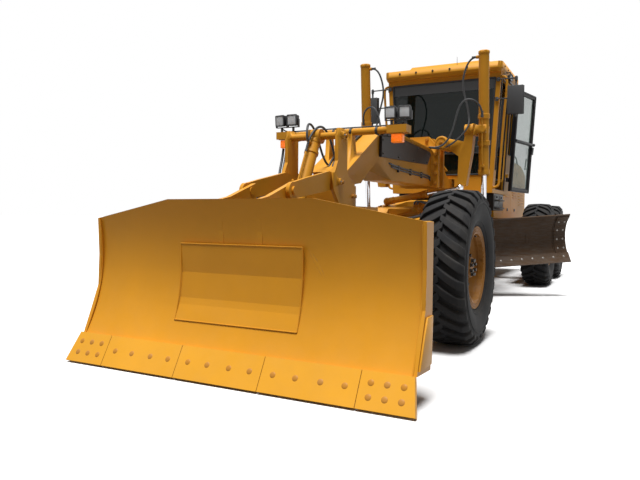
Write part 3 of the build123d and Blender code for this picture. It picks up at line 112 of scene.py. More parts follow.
def ramp(tree, source, output, stops):
    made = tree.nodes.new("ShaderNodeValToRGB")
    tree.links.new(source.outputs[output], made.inputs[0])
    made.color_ramp.elements[0].position, made.color_ramp.elements[0].color = stops[0][0], (*[stops[0][1]] * 3, 1)
    made.color_ramp.elements[1].position, made.color_ramp.elements[1].color = stops[-1][0], (*[stops[-1][1]] * 3, 1)
    return made


def product(tree, first, second, output=0, clamped=False):
    return node(tree, "Math", [(0, first, 0), (1, second, output)], operation="MULTIPLY", use_clamp=clamped)


def noise(tree, place, scale, detail, roughness):
    return node(tree, "TexNoise", [("Vector", place, "Object")], in_Scale=scale, in_Detail=detail,
        in_Roughness=roughness)


def fed(tree, end, **sources):
    """Links each named input of a node to (node, output)."""
    for name, (source, output) in sources.items():
        tree.links.new(source.outputs[output], end.inputs[name.replace("_", " ")])


FLOAT, COLOUR, VECTOR = "NodeSocketFloat", "NodeSocketColor", "NodeSocketVector"


def build_mottle():
    """Slow change of tone over a surface."""
    tree, start, end = group("paint_mottle", [("Color", COLOUR, (0.8, 0.5, 0.1, 1)), ("Scale", FLOAT, 2.0),
                                              ("Amount", FLOAT, 0.15)], [("Color", COLOUR), ("Mask", FLOAT)])
    place = node(tree, "TexCoord")
    cloud = node(tree, "TexNoise", [("Vector", place, "Object"), ("Scale", start, "Scale")], in_Detail=5.0,
                 in_Roughness=0.6)
    level = node(tree, "MapRange", [("Value", cloud, "Fac")], in_1=0.3, in_2=0.7, in_3=-1.0, in_4=1.0)
    scaled = product(tree, level, start, "Amount")
    value = node(tree, "Math", [(0, scaled, 0)], operation="ADD", in_1=1.0)
    tinted = node(tree, "HueSaturation", [("Color", start, "Color"), ("Value", value, 0)])
    fed(tree, end, Color=(tinted, 0), Mask=(cloud, "Fac"))
    return tree


def build_dust():
    """Pale dust that lies on upward faces and gathers near the ground."""
    tree, start, end = group("settled_dust", [("Color", COLOUR, (0.5, 0.4, 0.3, 1)),
        ("Dust", COLOUR, (0.32, 0.26, 0.18, 1)), ("Amount", FLOAT, 0.4), ("Roughness", FLOAT, 0.4)],
        [("Color", COLOUR), ("Roughness", FLOAT)])
    place = node(tree, "TexCoord")
    height = node(tree, "SeparateXYZ", [(0, place, "Object")])
    low = node(tree, "MapRange", [("Value", height, "Z")], in_1=0.1, in_2=1.7, in_3=1.0, in_4=0.25)
    facing = node(tree, "NewGeometry")
    up = node(tree, "SeparateXYZ", [(0, facing, "Normal")])
    flat = node(tree, "MapRange", [("Value", up, "Z")], in_1=-0.2, in_2=1.0, in_3=0.25, in_4=1.0)
    cloud = noise(tree, place, 5.5, 8.0, 0.65)
    patch = ramp(tree, cloud, "Fac", [(0.38, 0), (0.72, 1)])
    first = product(tree, low, flat)
    second = product(tree, first, patch)
    mask = product(tree, second, start, "Amount", True)
    mixed = node(tree, "Mix", [(0, mask, 0), (6, start, "Color"), (7, start, "Dust")], data_type="RGBA")
    rough = node(tree, "Mix", [(0, mask, 0), (2, start, "Roughness")], in_3=0.9)
    fed(tree, end, Color=(mixed, 2), Roughness=(rough, 0))
    return tree


def build_wear():
    """Paint rubbed off edges and chips, down to primer or metal."""
    tree, start, end = group("edge_wear", [("Color", COLOUR, (0.5, 0.4, 0.3, 1)),
        ("Under", COLOUR, (0.16, 0.12, 0.09, 1)), ("Width", FLOAT, 0.006), ("Amount", FLOAT, 0.6),
        ("Chips", FLOAT, 0.3), ("Roughness", FLOAT, 0.4)], [("Color", COLOUR), ("Roughness", FLOAT), ("Mask", FLOAT)])
    place = node(tree, "TexCoord")
    facing = node(tree, "NewGeometry")
    soft = node(tree, "Bevel", [("Radius", start, "Width")], samples=4)
    turn = node(tree, "VectorMath", [(0, soft, 0), (1, facing, "Normal")], operation="DOT_PRODUCT")
    edge = node(tree, "MapRange", [("Value", turn, "Value")], in_1=0.93, in_2=0.72, in_3=0.0, in_4=1.0)
    cloud = noise(tree, place, 22.0, 6.0, 0.7)
    broken = ramp(tree, cloud, "Fac", [(0.42, 0), (0.6, 1)])
    rubbed = product(tree, edge, broken)
    rubbed = product(tree, rubbed, start, "Amount")
    speck = noise(tree, place, 60.0, 3.0, 0.6)
    spots = ramp(tree, speck, "Fac", [(0.7, 0), (0.74, 1)])
    chips = product(tree, spots, start, "Chips")
    mask = node(tree, "Math", [(0, rubbed, 0), (1, chips, 0)], operation="MAXIMUM", use_clamp=True)
    mixed = node(tree, "Mix", [(0, mask, 0), (6, start, "Color"), (7, start, "Under")], data_type="RGBA")
    rough = node(tree, "Mix", [(0, mask, 0), (2, start, "Roughness")], in_3=0.6)
    fed(tree, end, Color=(mixed, 2), Roughness=(rough, 0), Mask=(mask, 0))
    return tree


def build_grain():
    """Fine bump of sprayed, cast or moulded surfaces."""
    tree, start, end = group("surface_grain", [("Scale", FLOAT, 200.0), ("Strength", FLOAT, 0.1),
        ("Distance", FLOAT, 0.001)], [("Normal", VECTOR)])
    place = node(tree, "TexCoord")
    cloud = node(tree, "TexNoise", [("Vector", place, "Object"), ("Scale", start, "Scale")], in_Detail=3.0)
    bump = node(tree, "Bump", [("Height", cloud, "Fac"), ("Strength", start, "Strength"),
                                         ("Distance", start, "Distance")])
    fed(tree, end, Normal=(bump, 0))
    return tree


def build_streaks():
    """Long scratches and rust runs along one direction of a worked surface."""
    tree, start, end = group("scraped_streaks", [("Color", COLOUR, (0.4, 0.3, 0.15, 1)),
        ("Bare", COLOUR, (0.2, 0.17, 0.14, 1)), ("Stretch", VECTOR, (1.0, 8.0, 30.0)), ("Amount", FLOAT, 0.5)],
        [("Color", COLOUR), ("Mask", FLOAT)])
    place = node(tree, "TexCoord")
    long = node(tree, "VectorMath", [(0, place, "Object"), (1, start, "Stretch")], operation="MULTIPLY")
    lines = node(tree, "TexNoise", [("Vector", long, 0)], in_Scale=1.6, in_Detail=8.0, in_Roughness=0.7)
    cut = ramp(tree, lines, "Fac", [(0.42, 0), (0.66, 1)])
    mask = product(tree, cut, start, "Amount", True)
    mixed = node(tree, "Mix", [(0, mask, 0), (6, start, "Color"), (7, start, "Bare")], data_type="RGBA")
    fed(tree, end, Color=(mixed, 2), Mask=(mask, 0))
    return tree


MOTTLE, DUST, WEAR, GRAIN, STREAKS = build_mottle(), build_dust(), build_wear(), build_grain(), build_streaks()


# ================================================================ materials
def linear(red, green, blue):
    """Screen colour (0-255) as a linear colour."""
    return tuple((c / 255 / 12.92 if c < 11 else ((c / 255 + 0.055) / 1.055) ** 2.4)
        for c in (red, green, blue)) + (1.0,)


def material(name):
    made = bpy.data.materials.new(name)
    made.use_nodes = True
    return made, made.node_tree, made.node_tree.nodes["Principled BSDF"]


def placed(tree, shared, links=(), **values):
    made = tree.nodes.new("ShaderNodeGroup")
    made.node_tree = shared
    for key, value in values.items():
        made.inputs[key].default_value = value
    for target, source, output in links:
        tree.links.new(source.outputs[output], made.inputs[target])
    return made


def settings(made, shader, **values):
    for key, value in values.items():
        shader.inputs[key.replace("_", " ")].default_value = value
    return made


def painted(name, colour, roughness, dust=0.35, wear=0.5, chips=0.25, mottle=0.1, under=(0.13, 0.1, 0.08, 1),
        width=0.005, metal=0.0, streaks=0.0):
    """Sprayed paint: mottled tone, worn edges, settled dust and orange peel."""
    made, tree, shader = material(name)
    tone = placed(tree, MOTTLE, Color=colour, Scale=1.7, Amount=mottle)
    if streaks:
        tone = placed(tree, STREAKS, [("Color", tone, "Color")], Amount=streaks, Bare=under)
    worn = placed(tree, WEAR, [("Color", tone, "Color")], Under=under, Width=width, Amount=wear, Chips=chips,
                  Roughness=roughness)
    dusty = placed(tree, DUST, [("Color", worn, "Color"), ("Roughness", worn, "Roughness")], Amount=dust)
    peel = placed(tree, GRAIN, Scale=260.0, Strength=0.08)
    fed(tree, shader, Base_Color=(dusty, "Color"), Roughness=(dusty, "Roughness"), Normal=(peel, "Normal"))
    return settings(made, shader, Specular_IOR_Level=0.16, Metallic=metal)


def plain(name, colour, roughness, metal=0.0, mottle=0.12, grain=(180.0, 0.12), emission=None, sheen=0.0):
    """A moulded, cast or bare material with a soft change of tone and grain."""
    made, tree, shader = material(name)
    tone = placed(tree, MOTTLE, Color=colour, Scale=4.0, Amount=mottle)
    peel = placed(tree, GRAIN, Scale=grain[0], Strength=grain[1])
    fed(tree, shader, Base_Color=(tone, "Color"), Normal=(peel, "Normal"))
    if emission:
        settings(made, shader, Emission_Color=emission[0], Emission_Strength=emission[1])
    return settings(made, shader, Roughness=roughness, Metallic=metal, Sheen_Weight=sheen)


YELLOW = linear(200, 139, 38)
# The edge pieces' yellow is the blade's own yellow painted lighter: a painted highlight of their upward faces lit
# from above.
FINISH = {"yellow": painted("machine_yellow", YELLOW, 0.46, dust=0.16), "blade_yellow": painted("blade_yellow",
    linear(202, 139, 35), 0.4, dust=0.08, wear=0.35, chips=0.08, mottle=0.06), "edge_yellow": painted("edge_yellow",
    linear(214, 152, 44), 0.42, dust=0.08, wear=0.45, chips=0.1, mottle=0.06), "rim_yellow": painted("rim_yellow",
    linear(150, 98, 30), 0.5, dust=0.35, wear=0.5), "black_paint": painted("black_paint", linear(34, 32, 33), 0.38,
    dust=0.25, wear=0.25, chips=0.1, under=(0.09, 0.085, 0.08, 1)), "moldboard": painted("worn_moldboard",
    linear(74, 54, 36), 0.55, dust=0.15, wear=0.8, chips=0.5, mottle=0.22, under=(0.1, 0.085, 0.075, 1), streaks=0.55,
    width=0.01), "steel": painted("bare_steel", linear(120, 116, 112), 0.42, dust=0.3, wear=0.5, chips=0.1,
    metal=0.85, under=(0.35, 0.34, 0.33, 1)), "chrome": plain("hard_chrome", linear(205, 205, 208), 0.12, metal=1.0,
    mottle=0.03, grain=(60.0, 0.02)), "cast": plain("cast_iron", linear(52, 50, 48), 0.65, metal=0.4,
    grain=(90.0, 0.5)), "plastic": plain("black_plastic", linear(30, 30, 31), 0.55, grain=(320.0, 0.35)),
    "rubber": plain("door_seal", linear(22, 22, 23), 0.75, grain=(240.0, 0.25)), "hose": plain("hydraulic_hose",
    linear(24, 24, 26), 0.55, grain=(500.0, 0.6)), "seat_cloth": plain("seat_cloth", linear(44, 44, 48), 0.9,
    grain=(420.0, 0.7), sheen=0.4), "amber": plain("amber_lens", linear(255, 138, 10), 0.25, mottle=0.05,
    grain=(220.0, 0.5), emission=(linear(255, 120, 0), 0.35)), "red": plain("red_lens", linear(170, 12, 10), 0.25,
    mottle=0.05, grain=(220.0, 0.5)), "bolt": painted("bolt_yellow", linear(176, 118, 38), 0.45, dust=0.3, wear=0.9,
    chips=0.4, width=0.003), "dark_bolt": plain("dark_bolt", linear(58, 52, 46), 0.5, metal=0.6), }


def tinted_glass(name, tint, alpha, roughness=0.04):
    made, tree, shader = material(name)
    tone = placed(tree, MOTTLE, Color=tint, Scale=3.0, Amount=0.1)
    fed(tree, shader, Base_Color=(tone, "Color"))
    return settings(made, shader, Roughness=roughness, Alpha=alpha, Specular_IOR_Level=0.3)


FINISH["glass"] = tinted_glass("cab_glass_tint", linear(14, 24, 22), 0.84)
FINISH["door_glass"] = tinted_glass("door_glass_tint", linear(150, 180, 168), 0.45)
FINISH["lens"] = tinted_glass("lamp_lens", linear(225, 228, 230), 0.85, 0.12)


def tyre_rubber():
    """Dull black rubber with dust in it."""
    made, tree, shader = material("tyre_rubber")
    tone = placed(tree, MOTTLE, Color=linear(36, 36, 37), Scale=6.0, Amount=0.18)
    dusty = placed(tree, DUST, [("Color", tone, "Color")], Dust=(0.12, 0.105, 0.085, 1), Amount=0.45, Roughness=0.78)
    peel = placed(tree, GRAIN, Scale=140.0, Strength=0.35)
    fed(tree, shader, Base_Color=(dusty, "Color"), Roughness=(dusty, "Roughness"), Normal=(peel, "Normal"))
    return settings(made, shader, Specular_IOR_Level=0.15)


FINISH["tyre"] = tyre_rubber()

NODE_FINISH = {"side_panels": "black_paint", "exhaust": "black_paint", "service_boxes": "black_paint",
    "door_left": "black_paint", "door_right": "black_paint", "mirrors": "plastic", "lamps": "plastic",
    "console": "plastic", "seat": "seat_cloth", "engine_block": "cast", "lift_rod_left": "chrome",
    "lift_rod_right": "chrome", "shift_rod": "chrome", "front_lift_rod": "chrome", "moldboard": "moldboard",
    "cutting_edge": "moldboard", "tie_rod_stud": "steel", "front_edges": "edge_yellow", "front_blade": "blade_yellow",
    "cab_glass": "glass", "door_left_glass": "door_glass", "door_right_glass": "door_glass"}
SLOT_OF = dict.fromkeys(FINISH, "machine_paint") | {
    "black_paint": "black_paint", "moldboard": "blade_steel", "steel": "bare_steel", "dark_bolt": "bare_steel",
    "chrome": "chrome_rod", "plastic": "black_plastic", "rubber": "black_plastic", "hose": "black_plastic",
    "seat_cloth": "seat_fabric", "lens": "glass", "tyre": "tyre"}
HEXAGON = 1.732                      # a hexagon's width over its faces, by its corner radius
# Rims take the machine's yellow painted darker: painted shade of the deep wheel dishes.
for name, shape in frame["nodes"].items():
    finish = NODE_FINISH.get(name,
        "rim_yellow" if name.startswith("rim") else "tyre" if name.startswith("tyre") else "yellow")
    shape.data.materials.clear()
    shape.data.materials.append(FINISH[finish])

# ================================================================ modelling tools
def deselect():
    if bpy.context.object and bpy.context.object.mode != "OBJECT":
        bpy.ops.object.mode_set(mode="OBJECT")
    bpy.ops.object.select_all(action="DESELECT")


def apply_place(shape):
    deselect()
    shape.select_set(True)
    bpy.context.view_layer.objects.active = shape
    bpy.ops.object.transform_apply(location=True, rotation=True, scale=True)
    return shape


def edit_all(shape):
    deselect()
    shape.select_set(True)
    bpy.context.view_layer.objects.active = shape
    bpy.ops.object.mode_set(mode="EDIT")
    bpy.ops.mesh.select_all(action="SELECT")


def leave_edit():
    bpy.ops.object.mode_set(mode="OBJECT")


def applied(shape, kind, **values):
    """A modifier with its settings, applied."""
    deselect()
    shape.select_set(True)
    bpy.context.view_layer.objects.active = shape
    modifier = shape.modifiers.new(kind.lower(), kind)
    for key, value in values.items():
        setattr(modifier, key, value)
    bpy.ops.object.modifier_apply(modifier=modifier.name)
    return shape


def softened(shape, width, segments=2):
    """Edges sharper than 30 degrees rounded."""
    return applied(shape, "BEVEL", width=width, segments=segments, limit_method="ANGLE", angle_limit=radians(30))


def smooth(shape, angle=35):
    deselect()
    shape.select_set(True)
    bpy.context.view_layer.objects.active = shape
    bpy.ops.object.shade_smooth_by_angle(angle=radians(angle))
    return shape


def block(low, high, bevel=0.003):
    """A box between two corners, in metres, with rounded edges."""
    deselect()
    middle = [(a + b) / 2 for a, b in zip(low, high)]
    bpy.ops.mesh.primitive_cube_add(size=1, location=middle)
    shape = bpy.context.object
    shape.scale = [b - a for a, b in zip(low, high)]
    apply_place(shape)
    return softened(shape, bevel) if bevel else shape


def rod(start, end, radius, sides=24, bevel=0.002, tip=None):
    """A round bar between two points; tip is its radius at the end where it tapers."""
    deselect()
    start, end = Vector(start), Vector(end)
    bpy.ops.mesh.primitive_cone_add(vertices=sides, radius1=radius, radius2=radius if tip is None else tip,
                                    depth=(end - start).length, location=(start + end) / 2,
                                    rotation=(end - start).to_track_quat("Z", "Y").to_euler())
    shape = apply_place(bpy.context.object)
    return softened(shape, bevel) if bevel else shape


def box(a, b, bevel=0.003):
    """A block between any two opposite corners given as (x, s, z)."""
    low, high = zip(*map(sorted, zip(*path((a, b)))))
    return block(low, high, bevel)


def bar(start, end, *rest):
    """A rod between two points given as (x, s, z)."""
    return rod(*path((start, end)), *rest)


def outline_mesh(points, closed=False):
    """Loose edges through points, to be spun or extruded."""
    mesh = bpy.data.meshes.new("outline")
    count = len(points)
    mesh.from_pydata([tuple(p) for p in points], [(i, (i + 1) % count)
        for i in range(count if closed else count - 1)], [])
    shape = bpy.data.objects.new("outline", mesh)
    bpy.context.collection.objects.link(shape)
    return shape


def spun(profile, centre, axis, steps=64):
    """A profile of (radius, distance along the axis) turned round an axis through centre."""
    centre, axis = Vector(centre), Vector(axis).normalized()
    side = axis.orthogonal().normalized()
    shape = outline_mesh([centre + side * radius + axis * along for radius, along in profile])
    edit_all(shape)
    bpy.ops.mesh.spin(steps=steps, angle=2 * pi, center=centre, axis=axis)
    bpy.ops.mesh.select_all(action="SELECT")
    bpy.ops.mesh.remove_doubles(threshold=1e-5)
    bpy.ops.mesh.normals_make_consistent(inside=False)
    leave_edit()
    return shape


def hoop(inner, outer, half, rim, centre, axis, steps):
    """A ring that stands on a round bar: half its width at the foot, rim half its width outside."""
    return spun([(inner, -half), (outer, -rim), (outer, rim), (inner, half)], centre, axis, steps)


def button(flat, outer, top, rim, foot, centre, axis, steps):
    """A round cap: a flat top of one radius, chamfered to the outer one."""
    return spun([(0, top), (flat, top), (outer, rim), (outer, foot)], centre, axis, steps)


def plate(points, thickness, axis, bevel=0.002):
    """A flat plate: its outline points in order, thickened along an axis."""
    shape = outline_mesh(points, closed=True)
    edit_all(shape)
    bpy.ops.mesh.edge_face_add()
    bpy.ops.mesh.extrude_region_move(TRANSFORM_OT_translate={"value": tuple(Vector(axis).normalized() * thickness)})
    bpy.ops.mesh.select_all(action="SELECT")
    bpy.ops.mesh.normals_make_consistent(inside=False)
    leave_edit()
    return softened(shape, bevel) if bevel else shape


def turned(shapes, place):
    """Moves pieces that were modelled about an origin of their own to their place."""
    for shape in shapes:
        shape.data.transform(place)
    return shapes


def stood(point, angle, axis):
    """Matrix of a turn in degrees about an axis, at a point."""
    return Matrix.Translation(point) @ Matrix.Rotation(radians(angle), 4, axis)


def joined(name, shapes):
    deselect()
    for shape in shapes:
        shape.select_set(True)
    bpy.context.view_layer.objects.active = shapes[0]
    if len(shapes) > 1:
        bpy.ops.object.join()
    whole = bpy.context.view_layer.objects.active
    whole.name = whole.data.name = name
    return whole


def fitted(name, shapes, body, finish, angle=40):
    """Joins shapes into one finished piece that rides on a body, if one is given."""
    piece = joined(name, shapes if isinstance(shapes, list) else [shapes])
    apply_place(piece)
    smooth(piece, angle)
    piece.data.materials.clear()
    piece.data.materials.append(FINISH[finish])
    if body:
        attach(piece, body)
    return piece


def bridging(name, shapes):
    """Hoses that run between two bodies from start to end, fixed in place on no body."""
    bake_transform(fitted(name, shapes, None, "hose", 60))


def copies(master, places):
    """One mesh with the master repeated at each matrix."""
    whole = bmesh.new()
    for place in places:
        single = bmesh.new()
        single.from_mesh(master.data)
        single.transform(place)
        if place.determinant() < 0:
            bmesh.ops.reverse_faces(single, faces=single.faces)
        scratch = bpy.data.meshes.new("scratch")
        single.to_mesh(scratch)
        single.free()
        whole.from_mesh(scratch)
        bpy.data.meshes.remove(scratch)
    mesh = bpy.data.meshes.new(master.name + "_set")
    whole.to_mesh(mesh)
    whole.free()
    shape = bpy.data.objects.new(master.name + "_set", mesh)
    bpy.context.collection.objects.link(shape)
    bpy.data.objects.remove(master)
    return shape


def frame_at(place, outward, spin=0.0):
    """Matrix that stands a master's Z axis along outward at a place."""
    turn = Vector(outward).to_track_quat("Z", "Y").to_matrix().to_4x4()
    return Matrix.Translation(place) @ turn @ Matrix.Rotation(spin, 4, "Z")


def bolt_master(across, height):
    """Hexagon head on a washer, standing on the origin along Z."""
    parts = []
    for sides, radius, depth, z, bevel in ((6, across / HEXAGON, height, height / 2 + 0.003, 0.0015),
                                           (16, across * 0.72, 0.006, 0.001, 0.001)):
        deselect()
        bpy.ops.mesh.primitive_cylinder_add(vertices=sides, radius=radius, depth=depth, location=(0, 0, z))
        parts.append(softened(apply_place(bpy.context.object), bevel, 1))
    return joined("bolt", parts)


def plough_bolts(name, places, body, finish="steel", radius=0.021):
    """Flush plough bolts, countersunk rings with domed heads; places is a list of (point, outward)."""
    master = spun([(0.0, 0.0035), (radius * 0.5, 0.003), (radius * 0.85, 0.0012), (radius, -0.001)], (0, 0, 0), Z, 20)
    fitted(name, copies(master, [frame_at(point, out) for point, out in places]), body, finish, 35)


def bolts(name, places, body, across=0.03, height=0.016, finish="bolt"):
    """Bolt heads; places is a list of (point, outward)."""
    stands = [frame_at(point, out, index * 0.7) for index, (point, out) in enumerate(places)]
    return fitted(name, copies(bolt_master(across, height), stands), body, finish, 30)


def hose(points, radius, order=4):
    """A hose on a smooth curve through the neighbourhood of its points, as a closed tube mesh."""
    deselect()
    curve = bpy.data.curves.new("hose", "CURVE")
    curve.dimensions = "3D"
    spline = curve.splines.new("NURBS")
    spline.points.add(len(points) - 1)
    for target, source in zip(spline.points, points):
        target.co = (*source, 1.0)
    spline.order_u = min(order, len(points))
    spline.use_endpoint_u = True
    spline.resolution_u = 10
    curve.bevel_depth, curve.bevel_resolution, curve.use_fill_caps = radius, 3, True
    shape = bpy.data.objects.new("hose", curve)
    bpy.context.collection.objects.link(shape)
    shape.select_set(True)
    bpy.context.view_layer.objects.active = shape
    bpy.ops.object.convert(target="MESH")
    return bpy.context.object


def around(count, radius, start=0.0):
    """Pairs evenly spaced on a circle, the first at an angle from the second axis."""
    turns = [start + 2 * pi * index / count for index in range(count)]
    return [(radius * sin(turn), radius * cos(turn)) for turn in turns]


def directed(place, spots):
    """Bolt places, a list of (point, outward), moved by a matrix."""
    turn = place.to_3x3()
    return [(place @ Vector(point), turn @ Vector(outward)) for point, outward in spots]


def pipe(points, radius, side=1, order=4):
    """A hose through points given as (x, s, z), for one side of the machine."""
    return hose(path(points, side), radius, order)


def ferrule(place, direction, radius):
    """Crimped hose end with its hexagon nut."""
    place, direction = Vector(place), Vector(direction).normalized()
    return [rod(place, place + direction * radius * 4.5, radius * 1.28, 16, 0.0012),
            rod(place - direction * radius * 2.2, place + direction * 0.001, radius * 1.6, 6, 0.0012)]


# ================================================================ tyres and wheels
TYRE_RADIUS, CASING_RADIUS = 0.675, 0.643
HALF_TRACK, LUGS = 1.0325, 29
SECTION = [(0.3, 0.138), (0.33, 0.143), (0.366, 0.16), (0.392, 0.179), (0.43, 0.197), (0.49, 0.211), (0.54, 0.2125),
           (0.585, 0.205), (0.612, 0.192), (0.627, 0.172), (0.635, 0.14), (0.64, 0.09), (CASING_RADIUS, 0.0)]


def crown(across):
    """Casing radius under the tread at a distance from the tyre's middle."""
    across = abs(across)
    return CASING_RADIUS - 0.27 * across ** 2 - 2.6 * max(0.0, across - 0.16) ** 1.6


def tread_lug(side):
    """One lug: from just past the tread's middle it sweeps down over the shoulder."""
    deselect()
    bpy.ops.mesh.primitive_cube_add(size=1, location=(0, 0, 0))
    shape = bpy.context.object
    edit_all(shape)
    bpy.ops.mesh.subdivide(number_cuts=4)
    leave_edit()
    for vertex in shape.data.vertices:
        along, width, rise = vertex.co.x + 0.5, vertex.co.y, vertex.co.z + 0.5
        across = -0.016 + 0.226 * along
        top = TYRE_RADIUS - 0.42 * across ** 2 - 6.0 * max(0.0, across - 0.165) ** 1.6
        foot = min(crown(across), top) - 0.008
        radius = foot + (top - foot) * rise
        half = (0.038 + 0.01 * along) * (1.0 - 0.16 * rise)
        if along > 0.99:
            radius -= 0.045 * (1 - rise)
            across -= 0.01 * (1 - rise)
        angle = (-0.165 * along ** 0.85 + width * 2 * half) / TYRE_RADIUS
        vertex.co = (side * across, radius * sin(angle), radius * cos(angle))
    if side < 0:
        shape.data.flip_normals()
    return softened(shape, 0.0045, 1)


def tyre(name, body, centre, mirrored):
    """Casing with bead, sidewall ribs and two rows of staggered lugs."""
    profile = SECTION + [(r, -a) for r, a in reversed(SECTION[:-1])]
    parts = [spun(profile, (0, 0, 0), X, 96)]
    for radius, across in ((0.378, 0.169), (0.402, 0.184), (0.556, 0.2115)):
        for side in (1, -1):
            parts.append(spun([(radius - 0.006, side * (across - 0.004)), (radius - 0.002, side * (across + 0.003)),
                (radius + 0.003, side * (across + 0.003)), (radius + 0.007, side * (across - 0.004))], (0, 0, 0), X,
                96))
    for side, shift in ((1, 0.0), (-1, 0.5)):
        parts.append(copies(tread_lug(side), [Matrix.Rotation(2 * pi * (i + shift) / LUGS, 4, "X")
            for i in range(LUGS)]))
    whole = joined(name, parts)
    whole.data.transform(Matrix.Translation(centre)
        @ (Matrix.Diagonal((-1, 1, 1, 1)) if mirrored else Matrix.Identity(4)))
    if mirrored:
        whole.data.flip_normals()
    return fitted(name, whole, body, "tyre")


TANDEM_S, TANDEM_REACH = 6.086, 0.761
WHEELS = {"front": (0.0, 0.04), "mid": (TANDEM_S - TANDEM_REACH, 0.01), "rear": (TANDEM_S + TANDEM_REACH, 0.01)}


def wheels():
    """Tyres with their tread, and the rings, dust lips, nuts and valves of the rims."""
    for row, (s, disc) in WHEELS.items():
        for side, out in (("left", 1), ("right", -1)):
            centre = here(out * HALF_TRACK, s, TYRE_RADIUS)
            body = f"wheel_{row}_{side}"
            piece = tyre(f"{row}_{side}_tyre", body, centre, out < 0)
            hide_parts(f"tyre_{row}_{side}")
            parts = []
            for radius, across, size in ((0.351, 0.16, 0.008), (0.331, 0.159, 0.007), (0.311, 0.158, 0.008),
                    (0.296, 0.12, 0.006)):
                parts.append(spun([(radius - size, out * (across - 0.003)),
                    (radius - size * 0.7, out * (across + size * 0.7)), (radius, out * (across + size)),
                    (radius + size * 0.7, out * (across + size * 0.7)), (radius + size, out * (across - 0.003))],
                    centre, X, 72))
            # dust lip round the hub
            parts.append(spun([(0.1, out * (disc + 0.038)), (0.104, out * (disc + 0.052)),
                (0.094, out * (disc + 0.056)), (0.084, out * (disc + 0.05))], centre, X, 48))
            # the rim rings take the rims' darker yellow, painted shade
            fitted(f"{row}_{side}_rim_rings", parts, body, "rim_yellow", 60)
            nuts = [(centre + Vector((out * (disc + proud), a, b)), (out, 0, 0)) for proud, ring in (
                (0.018, around(12, 0.186)), (0.0885, around(8, 0.064, pi / 8))) for a, b in ring]
            bolts(f"{row}_{side}_wheel_nuts", nuts, body, 0.026, 0.02, "dark_bolt")
            stem = centre + Vector((out * 0.1, 0, 0.285))
            fitted(f"{row}_{side}_valve", [rod(stem, stem + Vector((out * 0.045, 0, -0.012)), 0.005, 12, 0),
                rod(stem + Vector((out * 0.045, 0, -0.012)), stem + Vector((out * 0.06, 0, -0.016)), 0.007, 12,
                0.001)], body, "plastic", 35)


# ================================================================ front blade fittings
EDGE_SEAT, EDGE_UP, EDGE_OUT = (-2.011, 0.2), (0.49, 0.8716), (-0.8716, 0.49)
BAR_S, BAR_Z = -0.25, 1.87


def edge_point(x, down):
    """Point on the edge pieces' front face, measured down from their top."""
    return (x, at(EDGE_SEAT[0] - EDGE_UP[0] * down + EDGE_OUT[0] * 0.0255),
        EDGE_SEAT[1] - EDGE_UP[1] * down + EDGE_OUT[1] * 0.0255)


def front_blade_fittings():
    """Edge bolts, weld beads and end wear plates of the front blade."""
    outward = (0, EDGE_OUT[0], EDGE_OUT[1])
    spots = []
    for low, high in ((-1.0, -0.335), (-0.335, 0.335), (0.335, 1.0)):
        spots += [edge_point(low + (high - low) * share, 0.105) for share in (0.13, 0.37, 0.63, 0.87)]
    for side in (-1, 1):
        spots += [edge_point(side * x, down) for x in (1.07, 1.17, 1.27) for down in (0.065, 0.15)]
    plough_bolts("front_edge_bolts", [(spot, outward) for spot in spots], "front_blade", "bolt")
    # weld beads along the end plates and the wear plate
    beads = []
    for side in (-1, 1):
        beads.append(pipe([(1.2985, s, z) for s, z in ((-2.006, 0.21), (-1.935, 0.36), (-1.868, 0.52), (-1.838, 0.7),
            (-1.842, 0.9), (-1.862, 1.06))], 0.005, side))
    for z, s in ((0.365, -1.9255), (0.905, -1.8565)):
        beads.append(bar((-0.5, s, z), (0.5, s, z), 0.004, 10, 0))
    for x in (-0.5, 0.5):
        beads.append(pipe([(x, s, z) for s, z in ((-1.9255, 0.366), (-1.869, 0.5), (-1.844, 0.7), (-1.8565, 0.904))],
            0.004))
    fitted("front_blade_welds", beads, "front_blade", "blade_yellow", 35)
    # hardened wear plates bolted on the end plates
    ends = []
    for side in (-1, 1):
        x = side * 1.3245
        outline = [(x, at(s), z) for s, z in ((-1.985, 0.23), (-1.9, 0.42), (-1.85, 0.52), (-1.745, 0.52),
            (-1.76, 0.23))]
        ends.append(plate(outline, 0.012 * side, X, 0.002))
    # The end wear plates take the edges' lighter yellow, a painted highlight.
    fitted("front_blade_end_wear_plates", ends, "front_blade", "edge_yellow", 30)


